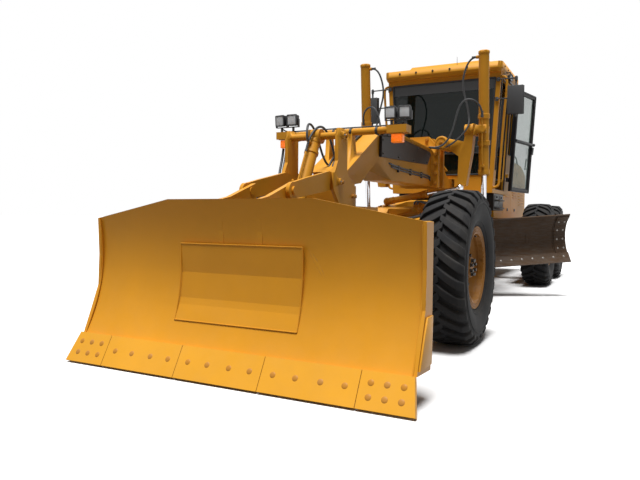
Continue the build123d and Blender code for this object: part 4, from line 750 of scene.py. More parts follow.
def lamp_housing(x, base_z, yaw, tilt):
    """Square work lamp: housing, bezel, cooling fins and a stirrup; returns (dark parts, lens parts)."""
    body = block((-0.05, -0.03, -0.05), (0.05, 0.03, 0.05), 0.01)
    rim = block((-0.054, -0.042, -0.054), (0.054, -0.026, 0.054), 0.008)
    opening = block((-0.043, -0.06, -0.043), (0.043, -0.036, 0.043), 0)
    cut = rim.modifiers.new("cut", "BOOLEAN")
    cut.operation, cut.object, cut.solver = "DIFFERENCE", opening, "EXACT"
    deselect()
    bpy.context.view_layer.objects.active = rim
    bpy.ops.object.modifier_apply(modifier="cut")
    bpy.data.objects.remove(opening)
    dark = [body, rim]
    for step in range(5):
        z = -0.036 + step * 0.018
        dark.append(block((-0.042, 0.028, z - 0.003), (0.042, 0.044, z + 0.003), 0.001))
    pale = [block((-0.043, -0.038, -0.043), (0.043, -0.03, 0.043), 0.004)]
    for step in range(8):
        across = -0.0365 + step * 0.01043
        pale.append(rod((across, -0.0385, -0.04), (across, -0.0385, 0.04), 0.0028, 8, 0))
    turned(dark + pale, stood((x, at(BAR_S - 0.005), base_z), yaw, "Z") @ Matrix.Rotation(radians(tilt), 4, "X"))
    stalk = []
    for side in (-1, 1):
        stalk.append(box((x + side * 0.058 - 0.003, BAR_S - 0.02, base_z - 0.062), (x + side * 0.058 + 0.003,
            BAR_S + 0.012, base_z + 0.012), 0.002))
    stalk.append(box((x - 0.061, BAR_S - 0.02, base_z - 0.066), (x + 0.061, BAR_S + 0.012, base_z - 0.06), 0.002))
    stalk.append(bar((x, BAR_S - 0.004, BAR_Z + 0.03), (x, BAR_S - 0.004, base_z - 0.064), 0.012, 16))
    return dark + stalk, pale


def by_bar(points, radius, side=1):
    """A wire whose points are measured from the lamp bar's axis."""
    return pipe([(x, BAR_S + s, BAR_Z + z) for x, s, z in points], radius, side)


def lamp_bar_fittings():
    """Work lamps, turn signals, clamps and wiring of the lamp bar."""
    dark, pale = [], []
    for x, yaw, tilt in ((-0.62, -8, 4), (-0.495, 3, 2), (0.495, -3, 2), (0.62, 8, 4)):
        more_dark, more_pale = lamp_housing(x, BAR_Z + 0.145, yaw, tilt)
        dark += more_dark
        pale += more_pale
    housing = fitted("work_lamps", dark, FRONT, "plastic")
    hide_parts("lamps")
    fitted("work_lamp_lenses", pale, FRONT, "lens")
    ambers, brackets = [], []
    for side in (-1, 1):
        x = side * 0.56
        ambers.append(box((x - 0.052, BAR_S - 0.052, BAR_Z - 0.118), (x + 0.052, BAR_S + 0.012, BAR_Z - 0.044),
            0.008))
        for step in range(6):
            z = BAR_Z - 0.108 + step * 0.011
            ambers.append(bar((x - 0.046, BAR_S - 0.0525, z), (x + 0.046, BAR_S - 0.0525, z), 0.0028, 8, 0))
        outline = [(x + dx, BAR_S - 0.058, BAR_Z + dz) for dx, dz in ((-0.095, 0.034), (0.095, 0.034), (0.06, -0.042),
            (-0.06, -0.042))]
        brackets.append(plate(path(outline), 0.006, Y, 0.0015))
    fitted("turn_signal_lenses", ambers, FRONT, "amber")
    fitted("turn_signal_brackets", brackets, FRONT, "yellow", 30)
    # clamps round the bar and the wiring that they hold
    clamps = []
    for x in (-0.3, -0.06, 0.11, 0.36):
        clamps.append(hoop(0.0325, 0.0365, 0.012, 0.011, (x, at(BAR_S), BAR_Z), X, 32))
        clamps.append(bar((x, BAR_S - 0.037, BAR_Z - 0.004), (x, BAR_S - 0.06, BAR_Z - 0.004), 0.007, 6))
    wires = [by_bar([(-0.62, 0, 0.075), (-0.6, 0.03, 0.045), (-0.52, 0, 0.04), (-0.35, 0, 0.04), (-0.06, 0, 0.041),
        (0.2, 0, 0.04), (0.5, 0, 0.04), (0.6, 0.02, 0.045), (0.62, 0, 0.075)], 0.006),
        by_bar([(-0.06, 0, 0.04), (-0.04, 0.06, 0.05), (-0.02, 0.14, 0), (0.0, 0.24, -0.03),
        (0.0, 0.2 - BAR_S, 1.915 - BAR_Z)], 0.008)]
    for side in (-1, 1):
        wires.append(by_bar([(0.58, 0, -0.05), (0.5, 0.02, -0.075), (0.4, 0, -0.045), (0.36, 0, -0.036)], 0.005,
            side))
    fitted("lamp_bar_clamps", clamps, FRONT, "plastic")
    fitted("lamp_wiring", wires, FRONT, "hose", 60)
    # black hose pair that drops from the bar's right end to the blade lift
    drops = []
    for shift in (0.0, 0.035):
        drops.append(pipe([(-0.6 + shift, BAR_S - 0.01, BAR_Z - 0.12), (-0.6 + shift, BAR_S - 0.03, BAR_Z - 0.24),
            (-0.56 + shift, -0.42, 1.5), (-0.48 + shift, -0.5, 1.36), (-0.36, -0.52 - shift, 1.28),
            (-0.255, -0.56 - shift, 1.24)], 0.012))
    fitted("front_supply_hoses", drops, FRONT, "hose", 60)


# ================================================================ lift cylinders and their hoses
LIFT_PIN = (2.185, 2.175)
LIFT_AXIS = Vector((0, 0.0805, -0.9968))


def lift_point(side, down):
    return here(side * 0.77, LIFT_PIN[0], LIFT_PIN[1]) + LIFT_AXIS * down


def lift_cylinder_fittings():
    """Glands, collars, ports, pipes and hoses of the blade lift cylinders."""
    for side, word in ((1, "left"), (-1, "right")):
        body = f"lift_barrel_{word}"
        metal = [spun([(0.0, -0.01), (0.05, -0.01), (0.062, -0.004), (0.066, 0.004), (0.066, 0.02)],
            lift_point(side, -0.93), LIFT_AXIS, 40), hoop(0.0625, 0.07, 0.03, 0.026, lift_point(side, -0.16),
            LIFT_AXIS, 40), hoop(0.0625, 0.074, 0.03, 0.026, lift_point(side, 0.16), LIFT_AXIS, 40),
            spun([(0.033, 0.004), (0.056, 0.004), (0.06, 0.0), (0.06, -0.006)], lift_point(side, 0.548), LIFT_AXIS,
            40)]
        inward, ahead = Vector((-side, 0, 0)), Vector((0, -1, 0))
        top, low = lift_point(side, -0.87), lift_point(side, 0.44)
        metal += [rod(top + inward * 0.055, top + inward * 0.092, 0.02, 20), rod(low + ahead * 0.055,
            low + ahead * 0.098, 0.02, 20)]
        # steel tube down the barrel's front
        tube = [hose([low + ahead * 0.09, low + ahead * 0.104 + Vector((0, 0, 0.03)),
            lift_point(side, 0.3) + ahead * 0.1, lift_point(side, -0.1) + ahead * 0.1,
            lift_point(side, -0.16) + ahead * 0.1], 0.009)]
        fitted(f"lift_cylinder_{word}_ports", metal + tube, body, "yellow")
        start = top + inward * 0.092
        fall = [start + Vector((-side * x, y, z)) for x, y, z in ((0, 0, 0), (0.075, 0, 0), (0.15, 0, -0.16),
            (0.17, 0.02, -0.36), (0.1, 0.02, -0.56), (0.075, 0.02, -0.74))]
        rise = [lift_point(side, down) + ahead * y + inward * x for down, y, x in (
            (-0.16, 0.1, 0), (-0.24, 0.115, 0), (-0.33, 0.17, 0.05), (-0.36, 0.2, 0.18), (-0.24, 0.22, 0.27))]
        upper = hose(fall + path([(0.62, 2.06, 2.2), (0.47, 2.02, 2.02), (0.3, 2.015, 1.93), (0.17, 1.9, 1.96)],
            side), 0.0115)
        lower = hose(rise + path([(0.46, 1.93, 2.1), (0.33, 1.9, 1.93), (0.2, 1.86, 1.955)], side), 0.0115)
        ends = ferrule(start, inward, 0.0115) + ferrule(rise[0], -LIFT_AXIS, 0.0115)
        bridging(f"lift_cylinder_{word}_hoses", [upper, lower, *ends])
        fitted(f"lift_rod_{word}_eye_cap", [button(0.04, 0.052, 0.006, 0.0, -0.002, (side * 0.804, at(2.2648), 1.187),
            (side, 0, 0), 32)], f"lift_rod_{word}", "yellow", 35)


# ================================================================ cab
CAB_FRONT, CAB_BACK, FLOOR_TOP = 3.05, 4.23, 1.66
DOORWAY = (3.2, 3.9)


def wall_x(z):
    """Outer face of the cab's side wall at a height."""
    return 0.71 + (z - 1.45) * 0.09 / 1.61


def door_matrix(out, angle):
    """Turns door pieces modelled shut about the hinge; out is the side of the machine."""
    hinge = Vector((out * (wall_x(1.5) + 0.026), at(3.904), 1.5))
    axis = Vector((out * 0.05581, 0, 0.99844))
    return stood(hinge, angle, axis) @ Matrix.Translation(-hinge)


def loop(points, radius, sides=8):
    """Round bead along a closed outline."""
    return [rod(points[i - 1], points[i], radius, sides, 0) for i in range(len(points))]


def screen_outline(inset, low, high, s):
    return [(-wall_x(low) + inset, at(s), low), (wall_x(low) - inset, at(s), low), (wall_x(high) - inset, at(s),
        high), (-wall_x(high) + inset, at(s), high)]


def side_outline(out, s_low, s_high, low, high, lift=0.0):
    return [(out * (wall_x(low) + lift), at(s_low), low), (out * (wall_x(low) + lift), at(s_high), low),
            (out * (wall_x(high) + lift), at(s_high), high), (out * (wall_x(high) + lift), at(s_low), high)]


def cab_outside():
    """Seals, windscreen trim, roof lamps, rails, gutters, mirrors, vents and box lids."""
    seals = loop(screen_outline(0.07, 1.7, 2.99, CAB_FRONT - 0.002), 0.011)
    seals += loop(screen_outline(0.09, 2.05, 2.95, CAB_BACK + 0.002), 0.011)
    for out in (1, -1):
        seals += loop(side_outline(out, 3.97, 4.17, 2.05, 2.95), 0.009)
        seals += loop(side_outline(out, 3.105, 3.158, 1.76, 2.96), 0.007)
        seals += loop(side_outline(out, DOORWAY[0], DOORWAY[1], 1.5, 3.0, -0.012), 0.01)
    fitted("window_seals", seals, FRONT, "rubber", 60)
    # opaque band across the top of the windscreen and a bar across its foot
    trim = [plate(screen_outline(0.074, 2.85, 2.986, CAB_FRONT + 0.0075), 0.003, Y, 0),
            plate(screen_outline(0.074, 1.985, 2.01, CAB_FRONT + 0.006), 0.004, Y, 0.001)]
    # wiper at the foot of the glass
    pivot = here(-0.05, CAB_FRONT - 0.006, 1.93)
    trim += [rod(pivot + Vector((0, 0.014, 0)), pivot + Vector((0, -0.026, 0)), 0.018, 20),
             rod(pivot + Vector((0, -0.018, 0)), (0.2, at(CAB_FRONT - 0.024), 2.055), 0.006, 10, 0),
             bar((-0.16, CAB_FRONT - 0.016, 2.04), (0.52, CAB_FRONT - 0.016, 2.07), 0.007, 10, 0),
             bar((-0.16, CAB_FRONT - 0.008, 2.038), (0.52, CAB_FRONT - 0.008, 2.068), 0.004, 8, 0)]
    fitted("windscreen_trim", trim, FRONT, "plastic")
    # rivets, lamps and aerial on the roof
    rivets = [((x, at(2.968), 3.15), (0, -1, 0)) for x in (-0.6, -0.36, -0.12, 0.12, 0.36, 0.6)]
    rivets += [((out * 0.826, at(s), 3.15), (out, 0, 0)) for out in (1, -1) for s in (3.15, 3.4, 3.65, 3.9, 4.12)]
    bolts("roof_rivets", rivets, FRONT, 0.02, 0.007, "dark_bolt")
    fitted("roof_aerial", [bar((0.2, 3.06, 3.188), (0.2, 3.06, 3.205), 0.014, 16),
        bar((0.2, 3.06, 3.2), (0.2, 3.055, 3.325), 0.004, 8, 0, 0.002)], FRONT, "plastic", 35)
    lamps, glass = [], []
    for x, s, z, yaw in ((-0.6, 4.345, 3.06, 180), (0.6, 4.345, 3.06, 180), (0.88, 3.3, 3.02, 72),
                         (-0.88, 3.3, 3.02, -72)):
        body = spun([(0.0, 0.05), (0.03, 0.046), (0.048, 0.02), (0.052, -0.012), (0.046, -0.016), (0.042, -0.008)],
            (0, 0, 0), Y, 28)
        lens = spun([(0.0, -0.012), (0.025, -0.01), (0.043, -0.006)], (0, 0, 0), Y, 28)
        stem = rod((0, 0.01, 0.045), (0, 0.01, 0.078), 0.008, 10)
        turned((body, lens, stem), stood((x, at(s), z), yaw, "Z"))
        if abs(x) > 0.8:
            stalk = box((x, s - 0.02, z + 0.07), (x - 0.09 * x / abs(x), s + 0.02, z + 0.078), 0.001)
        else:
            stalk = bar((x, s, z + 0.074), (x, s - 0.06, z + 0.1), 0.008, 10)
        lamps += [body, stem, stalk]
        glass.append(lens)
    fitted("roof_lamps", lamps, FRONT, "plastic")
    fitted("roof_lamp_lenses", glass, FRONT, "lens")
    # grab rails ahead of the doors, and rain gutters over them
    rails, gutters = [], []
    for out in (1, -1):
        rails.append(pipe([(wall_x(z) + gap, s, z) for s, z, gap in (
            (3.08, 3.0, -0.01), (3.08, 3.01, 0.07), (3.082, 2.93, 0.085), (3.088, 2.5, 0.07), (3.088, 1.9, 0.07),
            (3.088, 1.6, 0.07), (3.086, 1.535, 0.075), (3.08, 1.52, 0.02), (3.08, 1.52, -0.01))], 0.0165, out))
        gutters.append(plate(path([(wall_x(z) + gap, 3.15, z) for z, gap in ((3.022, -0.004), (3.034, -0.004),
            (3.034, 0.022), (3.04, 0.022), (3.04, 0.026), (3.022, 0.026))], out), 0.79, Y, 0.001))
    fitted("grab_rails", rails, FRONT, "yellow", 60)
    fitted("rain_gutters", gutters, FRONT, "black_paint")
    # mirrors: padded backs, glass and clamps
    backs, faces = [], []
    for out in (1, -1):
        x = out * 1.01
        backs.append(box((x - 0.1, 2.89, 2.468), (x + 0.1, 2.902, 2.832), 0.03))
        backs.append(box((x - 0.104, 2.95, 2.464), (x + 0.104, 2.962, 2.836), 0.005))
        faces.append(box((x - 0.088, 2.9615, 2.482), (x + 0.088, 2.9635, 2.818), 0))
        for z in (2.94, 2.68):
            backs.append(bar((x, 2.96, z - 0.035), (x, 2.96, z + 0.015), 0.02, 16))
    fitted("mirror_backs", backs, FRONT, "plastic")
    fitted("mirror_faces", faces, FRONT, "chrome")
    # cover and vents on the back wall
    plates = [box((-0.4, CAB_BACK, 1.52), (0.4, CAB_BACK + 0.006, 1.98), 0.002)]
    plates += [box((-0.34, CAB_BACK + 0.004, z), (0.34, CAB_BACK + 0.014, z + 0.012), 0.003)
        for z in (1.62, 1.66, 1.7, 1.74, 1.78, 1.82, 1.86)]
    fitted("back_wall_vents", plates, FRONT, "yellow")
    # black boxes under the doors: lids, latches, tread grip
    boxes = []
    for out in (1, -1):
        x = out * 0.69
        boxes += [box((x - out * 0.002, s, 1.245), (x + out * 0.005, s + 0.31, 1.425), 0.002) for s in (3.29, 3.62)]
        for s in (3.445, 3.775):
            boxes.append(bar((x, s, 1.4), (x + out * 0.02, s, 1.4), 0.012, 16))
        for z in (1.249, 1.359):
            for step in range(11):
                boxes.append(box((x, 3.335 + step * 0.034, z), (x + out * 0.07, 3.343 + step * 0.034, z + 0.004), 0))
    fitted("service_box_lids", boxes, FRONT, "black_paint")


def doors():
    """Seals, bars, pulls and strap bolts of the doors, modelled shut and turned to their rest angles."""
    for out, word, angle in ((1, "left", 166.5), (-1, "right", 0.0)):
        place = door_matrix(out, angle)

        def on(level, gap, s, z):
            """A point beside the wall's face as it stands at a level."""
            return (out * (wall_x(level) + gap), s, z)

        seal = []
        for margin, gap, radius in ((0.063, -0.014, 0.009), (0.025, -0.042, 0.008)):
            low, high, front, back = 1.5 + margin, 3.0 - margin, DOORWAY[0] + margin, DOORWAY[1] - margin
            seal += loop(path([on(z, gap, s, z) for s, z in ((front, low), (back, low), (back, high),
                (front, high))]), radius)
        seal = joined("seal", seal)
        seal.data.transform(place)
        fitted(f"door_{word}_seal", seal, f"door_{word}", "rubber", 60)
        z, pull = 2.252, 1.95
        rail = [bar(on(z, -0.06, 3.88, z), on(z, -0.06, 3.228, z), 0.016, 20),
                bar(on(z, -0.066, 3.234, z), on(z, -0.066, 3.219, z), 0.023, 20),
                bar(on(z, -0.03, 3.86, z), on(z, -0.062, 3.86, z), 0.014, 16),
                bar(on(z, -0.03, 3.245, z), on(z, -0.062, 3.245, z), 0.014, 16),
                box(on(z, -0.075, 3.215, 2.1), on(z, -0.038, 3.262, 2.215), 0.006),
                bar(on(pull, 0.0, 3.235, 2.02), on(pull, 0.034, 3.235, 2.02), 0.008, 12),
                bar(on(pull, 0.0, 3.235, 1.88), on(pull, 0.034, 3.235, 1.88), 0.008, 12),
                bar(on(pull, 0.036, 3.235, 2.035), on(pull, 0.036, 3.235, 1.865), 0.01, 12)]
        rail = joined("rail", rail)
        rail.data.transform(place)
        fitted(f"door_{word}_bar_and_pull", rail, f"door_{word}", "plastic")
        spots = [(path([on(z, 0.026, s, z + 0.03)])[0], (out, 0, 0)) for z in (1.64, 2.82) for s in (3.862, 3.89)]
        bolts(f"door_{word}_strap_bolts", directed(place, spots), f"door_{word}", 0.016, 0.008, "dark_bolt")


def cab_inside():
    """Linings, mat, seat cushions, controls, fire extinguisher and sun blind."""
    # linings of floor, ceiling, pillars and walls below the windows
    lining = [box((-0.65, 3.1, FLOOR_TOP), (0.65, 4.18, FLOOR_TOP + 0.012), 0.004),
              box((-0.725, 3.11, 3.052), (0.725, 4.17, 3.06), 0.002)]
    for out in (1, -1):
        for s, top, thick, length, bevel in ((3.906, 3.03, 0.008, 3.966 - 3.906, 0.001),
                (4.172, 3.03, 0.008, 4.184 - 4.172, 0.001), (3.966, 2.035, 0.012, 0.21, 0.002)):
            corners = ((1.7, 0), (top, 0), (top, thick), (1.7, thick))
            lining.append(plate(path([(wall_x(z) - 0.053 - d, s, z) for z, d in corners], out), length, Y, bevel))
    lining.append(box((-0.64, 4.168, 1.7), (0.64, 4.18, 2.035), 0.004))
    fitted("cab_lining", lining, FRONT, "plastic")
    mat = [box((-0.4, 3.15, FLOOR_TOP + 0.012), (0.4, 3.52, FLOOR_TOP + 0.02), 0.002)]
    mat += [box((-0.39, 3.16 + 0.022 * i, FLOOR_TOP + 0.019), (0.39, 3.17 + 0.022 * i, FLOOR_TOP + 0.023), 0)
        for i in range(16)]
    fitted("floor_mat", mat, FRONT, "rubber")
    # seat cushions over the plain seat
    s, z = 3.76, 1.64
    pads = [box((-0.235, s - 0.245, z + 0.385), (0.235, s + 0.215, z + 0.43), 0.018),
            box((-0.255, s - 0.235, z + 0.38), (-0.185, s + 0.215, z + 0.455), 0.022),
            box((0.185, s - 0.235, z + 0.38), (0.255, s + 0.215, z + 0.455), 0.022)]
    back = [block((-0.185, -0.034, 0.05), (0.185, 0.006, 0.58), 0.018), block((-0.255, -0.055, 0.06),
        (-0.18, 0.006, 0.56), 0.024), block((0.18, -0.055, 0.06), (0.255, 0.006, 0.56), 0.024),
        block((-0.13, -0.04, 0.6), (0.13, 0.06, 0.76), 0.03)]
    turned(back, stood((0, at(s + 0.168), z + 0.39), -8.2, "X"))
    for out in (1, -1):
        pads.append(box((out * 0.262, s - 0.16, z + 0.6), (out * 0.318, s + 0.22, z + 0.635), 0.012))
        pads.append(bar((out * 0.29, s + 0.18, z + 0.4), (out * 0.29, s + 0.18, z + 0.605), 0.014, 16))
    fitted("seat_cushions", pads + back, FRONT, "seat_cloth", 50)
    # dashboard, gauges, levers and pedals
    console = [box((-0.175, 3.222, 2.17), (0.175, 3.262, 2.29), 0.01)]
    for x in (-0.115, -0.04, 0.04, 0.115):
        console.append(spun([(0.0, 0.004), (0.026, 0.004), (0.03, 0.0)], (x, at(3.262), 2.235), (0, 1, 0.15), 24))
    for x in (-0.235, -0.275, -0.315, -0.355, 0.235, 0.275, 0.315, 0.355):
        side = x / abs(x)
        console.append(bar((x - side * 0.04, 3.3, 2.06), (x, 3.37, 2.33), 0.006, 10, 0))
        console.append(spun([(0.0, 0.03), (0.012, 0.026), (0.016, 0.012), (0.012, -0.004), (0.0, -0.006)],
            (x, at(3.37), 2.33), (0, 0.25, 1), 16))
    for side in (-1, 1):
        console.append(box((side * 0.17, 3.265, 2.01), (side * 0.345, 3.335, 2.07), 0.008))
        console.append(box((side * 0.2, 3.215, FLOOR_TOP + 0.05), (side * 0.29, 3.235, FLOOR_TOP + 0.19), 0.006))
    console += [bar((0.36, 3.6, FLOOR_TOP + 0.36), (0.36, 3.56, FLOOR_TOP + 0.6), 0.008, 12),
        box((0.3, 3.5, FLOOR_TOP + 0.01), (0.5, 3.98, FLOOR_TOP + 0.37), 0.015),
        spun([(0.0, 0.036), (0.016, 0.03), (0.02, 0.012), (0.012, -0.004)], (0.36, at(3.56), FLOOR_TOP + 0.6),
        (0, -0.1, 1), 16)]
    fitted("controls", console, FRONT, "plastic")
    fitted("fire_extinguisher", [bar((-0.52, 4.1, 1.69), (-0.52, 4.1, 2.02), 0.055, 28, 0.015),
        bar((-0.52, 4.1, 2.02), (-0.52, 4.1, 2.08), 0.018, 16), box((-0.535, 4.04, 2.06), (-0.505, 4.12, 2.085),
        0.004)], FRONT, "red")
    blind = [bar((-0.6, 3.112, 3.01), (0.6, 3.112, 3.01), 0.022, 20), box((-0.58, 3.108, 2.9), (0.58, 3.112, 3.005),
        0.001)]
    fitted("sun_blind", blind, FRONT, "plastic")


# ================================================================ frame, lift arms and the front mount
ARM_X, ARM_Z = 0.3, 2.02          # middle of the lift arm hubs
HITCH_S = 4.35


def ring_face(centre, axis, radius):
    """Raised ring and middle boss on the round end of a hub."""
    return [spun([(radius - 0.022, 0.0), (radius - 0.02, 0.005), (radius - 0.008, 0.005), (radius - 0.004, 0.0)],
        centre, axis, 48), spun([(0.0, 0.011), (0.016, 0.011), (0.02, 0.007), (0.02, 0.0)], centre, axis, 32)]


def nipple(place, outward):
    """Grease nipple: hexagon foot, neck and ball."""
    place, outward = Vector(place), Vector(outward).normalized()
    return [rod(place - outward * 0.002, place + outward * 0.006, 0.006, 6, 0.0008),
        spun([(0.0035, 0.005), (0.0025, 0.01), (0.0036, 0.0125), (0.0026, 0.016), (0.0, 0.0165)], place, outward, 14)]


def keeper(place, outward):
    """Flat pin keeper with its bolt, standing on a face behind a pin's end."""
    across, side = Vector(Y), Vector(outward).cross(Vector(Y))
    corners = [Vector(place) + across * a + side * b for a, b in (
        (-0.016, -0.014), (0.055, -0.014), (0.065, 0), (0.055, 0.014), (-0.016, 0.014), (-0.024, 0))]
    return plate(corners, 0.006, outward, 0.001)


def frame_fittings():
    """Welds, bolts, lift arm faces, pipes, the front mount's keepers and the hitch's caps and hoses."""
    beads, spots = [], []
    for side in (-1, 1):
        beads.append(pipe([(0.1555, s, z) for s, z in ((-0.48, 1.494), (-0.2, 1.65), (0.24, 1.897), (0.3, 1.925),
            (0.43, 1.977), (0.6, 1.971), (1.2, 1.948), (1.93, 1.921), (2.1, 1.875), (2.68, 1.716))], 0.0055, side, 3))
        for s in (2.047, 2.113, 2.257, 2.323):
            beads.append(bar((side * 0.156, s, 1.5), (side * 0.156, s, 1.868), 0.005, 8, 0))
        for s, face in ((2.05, -1), (2.32, 1)):
            for x, z in ((0.215, 1.53), (0.215, 1.65), (0.215, 1.77), (0.215, 1.89), (0.1, 2.07)):
                spots.append(((side * x, at(s), z), (0, face, 0)))
        beads.append(bar((side * 0.172, -0.452, 0.66), (side * 0.172, -0.452, 1.1), 0.005, 8, 0))
        beads.append(bar((side * 0.165, -0.3, 1.105), (side * 0.165, 0.175, 1.105), 0.005, 8, 0))
    fitted("frame_welds", beads, FRONT, "yellow", 60)
    bolts("saddle_bolts", spots, FRONT, 0.034, 0.018)
    spots = [((side * 0.1828, at(s), z), (side, 0, 0)) for side in (-1, 1) for s, z in ((0.35, 1.735), (0.35, 1.87),
        (0.465, 1.93), (0.95, 1.913), (1.45, 1.895), (1.87, 1.878), (1.79, 1.77), (1.3, 1.752), (0.8, 1.738))]
    bolts("panel_bolts", spots, FRONT, 0.018, 0.008, "dark_bolt")
    # faces of the lift arm pivots, with bolted rings at both ends
    faces, spots, greases = [], [], []
    for side in (-1, 1):
        for s, face in ((1.975, -1), (2.365, 1)):
            centre = (side * ARM_X, at(s), ARM_Z)
            faces += ring_face(centre, (0, face, 0), 0.0764)
            spots.append(((side * ARM_X, at(s) + face * 0.01, ARM_Z), (0, face, 0)))
        greases += nipple((side * ARM_X, at(2.03), ARM_Z + 0.0755), Z) + nipple((side * ARM_X, at(2.32),
            ARM_Z + 0.0755), Z)
        faces.append(hoop(0.0755, 0.083, 0.018, 0.014, (side * ARM_X, at(2.02), ARM_Z), Y, 48))
        faces.append(hoop(0.077, 0.084, 0.012, 0.009, (side * 0.64, at(2.185), 2.175), X, 48))
    fitted("lift_arm_faces", faces, FRONT, "yellow")
    bolts("lift_arm_bolts", spots, FRONT, 0.026, 0.014)
    # pipes and hoses along the gooseneck, with their clips
    pipes, clips = [], []
    for side, z, s in ((1, 1.64, 0.62), (1, 1.612, 0.68), (-1, 1.64, 0.62), (-1, 1.612, 0.68)):
        pipes.append(pipe([(0.15, s - 0.03, z + 0.02), (0.168, s, z + 0.012), (0.168, s + 0.1, z),
            (0.164, 1.2, z - 0.012), (0.164, 1.7, z - 0.02), (0.164, 1.91, z - 0.024), (0.168, 1.99, z - 0.034),
            (0.15, 2.03, z - 0.05)], 0.0095, side))
    for side in (-1, 1):
        for s in (0.85, 1.25, 1.65):
            z = 1.621 - (s - 0.7) * 0.018
            clips.append(box((side * 0.1525, s - 0.014, z - 0.036), (side * 0.176, s + 0.014, z + 0.036), 0.003))
    # hoses off the top plate to the lamp bar and the front lift
    for x in (-0.02, 0.015):
        pipes.append(pipe([(x, 1.1, 1.952), (x, 1.04, 1.998), (x, 0.8, 2.0), (x, 0.55, 2.012), (x, 0.42, 2.022),
            (x, 0.24, 1.945), (x - 0.01, -0.02, 1.797), (x - 0.03, -0.2, 1.697), (x - 0.03, -0.34, 1.62),
            (x - 0.01, -0.42, 1.545)], 0.01))
    for s, z in ((0.95, 1.966), (0.6, 1.979)):
        clips.append(box((-0.04, s - 0.012, z), (0.036, s + 0.012, z + 0.042), 0.004))
    fitted("frame_pipes", pipes, FRONT, "hose", 60)
    fitted("pipe_clips", clips, FRONT, "dark_bolt")
    # front mount: pin keepers, nipples and bolts of the mounting flange
    plates, spots = [], []
    for side in (-1, 1):
        for s, z in ((-0.8, 1.39), (-0.76, 0.74), (-0.74, 1.775)):
            plates.append(keeper((side * 0.2505, at(s), z), (side, 0, 0)))
            spots.append(((side * 0.2565, at(s + 0.048), z), (side, 0, 0)))
            plates.append(spun([(0.0, 0.007), (0.02, 0.007), (0.024, 0.003), (0.026, 0.0)], (side * 0.265, at(s), z),
                (side, 0, 0), 32))
            greases += nipple((side * 0.272, at(s - 0.012), z), (side, 0, 0))
        for s in (-0.53, -0.49):
            for z in (0.72, 0.86, 1.0, 1.14, 1.28):
                spots.append(((side * 0.2515, at(s), z), (side, 0, 0)))
    fitted("mount_pin_keepers", plates, FRONT, "yellow")
    bolts("mount_bolts", spots, FRONT, 0.03, 0.016)
    fitted("frame_grease_nipples", greases, FRONT, "steel")
    # hitch: cap and bolts of the pin, and the hoses that cross the joint
    caps = [button(0.072, 0.078, 0.012, 0.006, 0.0, (0, at(HITCH_S), z), (0, 0, face), 48)
        for z, face in ((1.43, 1), (0.77, -1))]
    fitted("hitch_pin_caps", caps, REAR, "yellow")
    spots = [((a, at(HITCH_S) + b, z), (0, 0, face)) for a, b in around(6, 0.055)
        for z, face in ((1.442, 1), (0.758, -1))]
    bolts("hitch_pin_bolts", spots, REAR, 0.024, 0.012)
    for side, word in ((1, "left"), (-1, "right")):
        crossing = []
        for index in range(3):
            rise, out = 0.052 * index, 0.01 * index
            crossing.append(pipe([(0.15, 4.08, 1.02 + rise), (0.205, 4.1, 1.02 + rise),
                (0.25 + out, 4.18, 1.01 + rise), (0.275 + out, 4.32, 0.99 + rise), (0.275 + out, 4.44, 0.96 + rise),
                (0.26 + out, 4.54, 0.93 + rise), (0.255 + out, 4.603, 0.92 + rise)], 0.013, side))
            crossing += ferrule((side * 0.164, at(4.08), 1.02 + rise), (side, 0, 0), 0.013)
        bridging(f"hitch_hoses_{word}", crossing)


def front_lift_fittings():
    """Gland, band, ports and hoses of the front lift cylinder."""
    # the front lift's barrel runs from its upper pin to the lower arms
    pin, eye = here(0, -0.74, 1.775), here(0, -1.304, 0.66)
    axis = (eye - pin).normalized()
    ahead = Vector((0, axis.z, -axis.y))
    if ahead.y > 0:
        ahead = -ahead
    parts = [spun([(0.031, 0.006), (0.05, 0.006), (0.056, 0.0), (0.056, -0.02)], pin + axis * 0.701, axis, 40),
             hoop(0.0525, 0.06, 0.016, 0.012, pin + axis * 0.16, axis, 40)]
    low, high = pin + axis * 0.655, pin + axis * 0.1
    parts += [rod(low + ahead * 0.05, low + ahead * 0.092, 0.016, 20), rod(high + ahead * 0.045, high + ahead * 0.088,
        0.016, 20)]
    parts.append(hose([low + ahead * 0.088, low + ahead * 0.098 - axis * 0.03, low + ahead * 0.09 - axis * 0.1,
        pin + axis * 0.26 + ahead * 0.086, pin + axis * 0.2 + ahead * 0.086], 0.008))
    fitted("front_lift_barrel_ports", parts, "front_lift_barrel", "yellow")
    fitted("front_lift_rod_wiper", [spun([(0.0305, 0.0), (0.036, 0.002), (0.04, 0.008), (0.0305, 0.012)],
        pin + axis * 0.7, axis, 32)], "front_lift_barrel", "rubber", 35)
    start = pin + axis * 0.2 + ahead * 0.086
    feeds = [hose([start, start - axis * 0.05, start - axis * 0.12 + ahead * 0.01, here(0.03, -0.76, 1.87),
        here(0.05, -0.64, 1.86), here(0.06, -0.52, 1.7), here(0.05, -0.46, 1.6), here(0.04, -0.42, 1.565)], 0.01),
        hose([high + ahead * 0.088, high + ahead * 0.12, high + ahead * 0.15 - axis * 0.06, here(-0.04, -0.8, 1.89),
        here(-0.06, -0.66, 1.88), here(-0.07, -0.52, 1.72), here(-0.06, -0.46, 1.6), here(-0.04, -0.42, 1.565)],
        0.01)]
    bridging("front_lift_hoses", feeds)


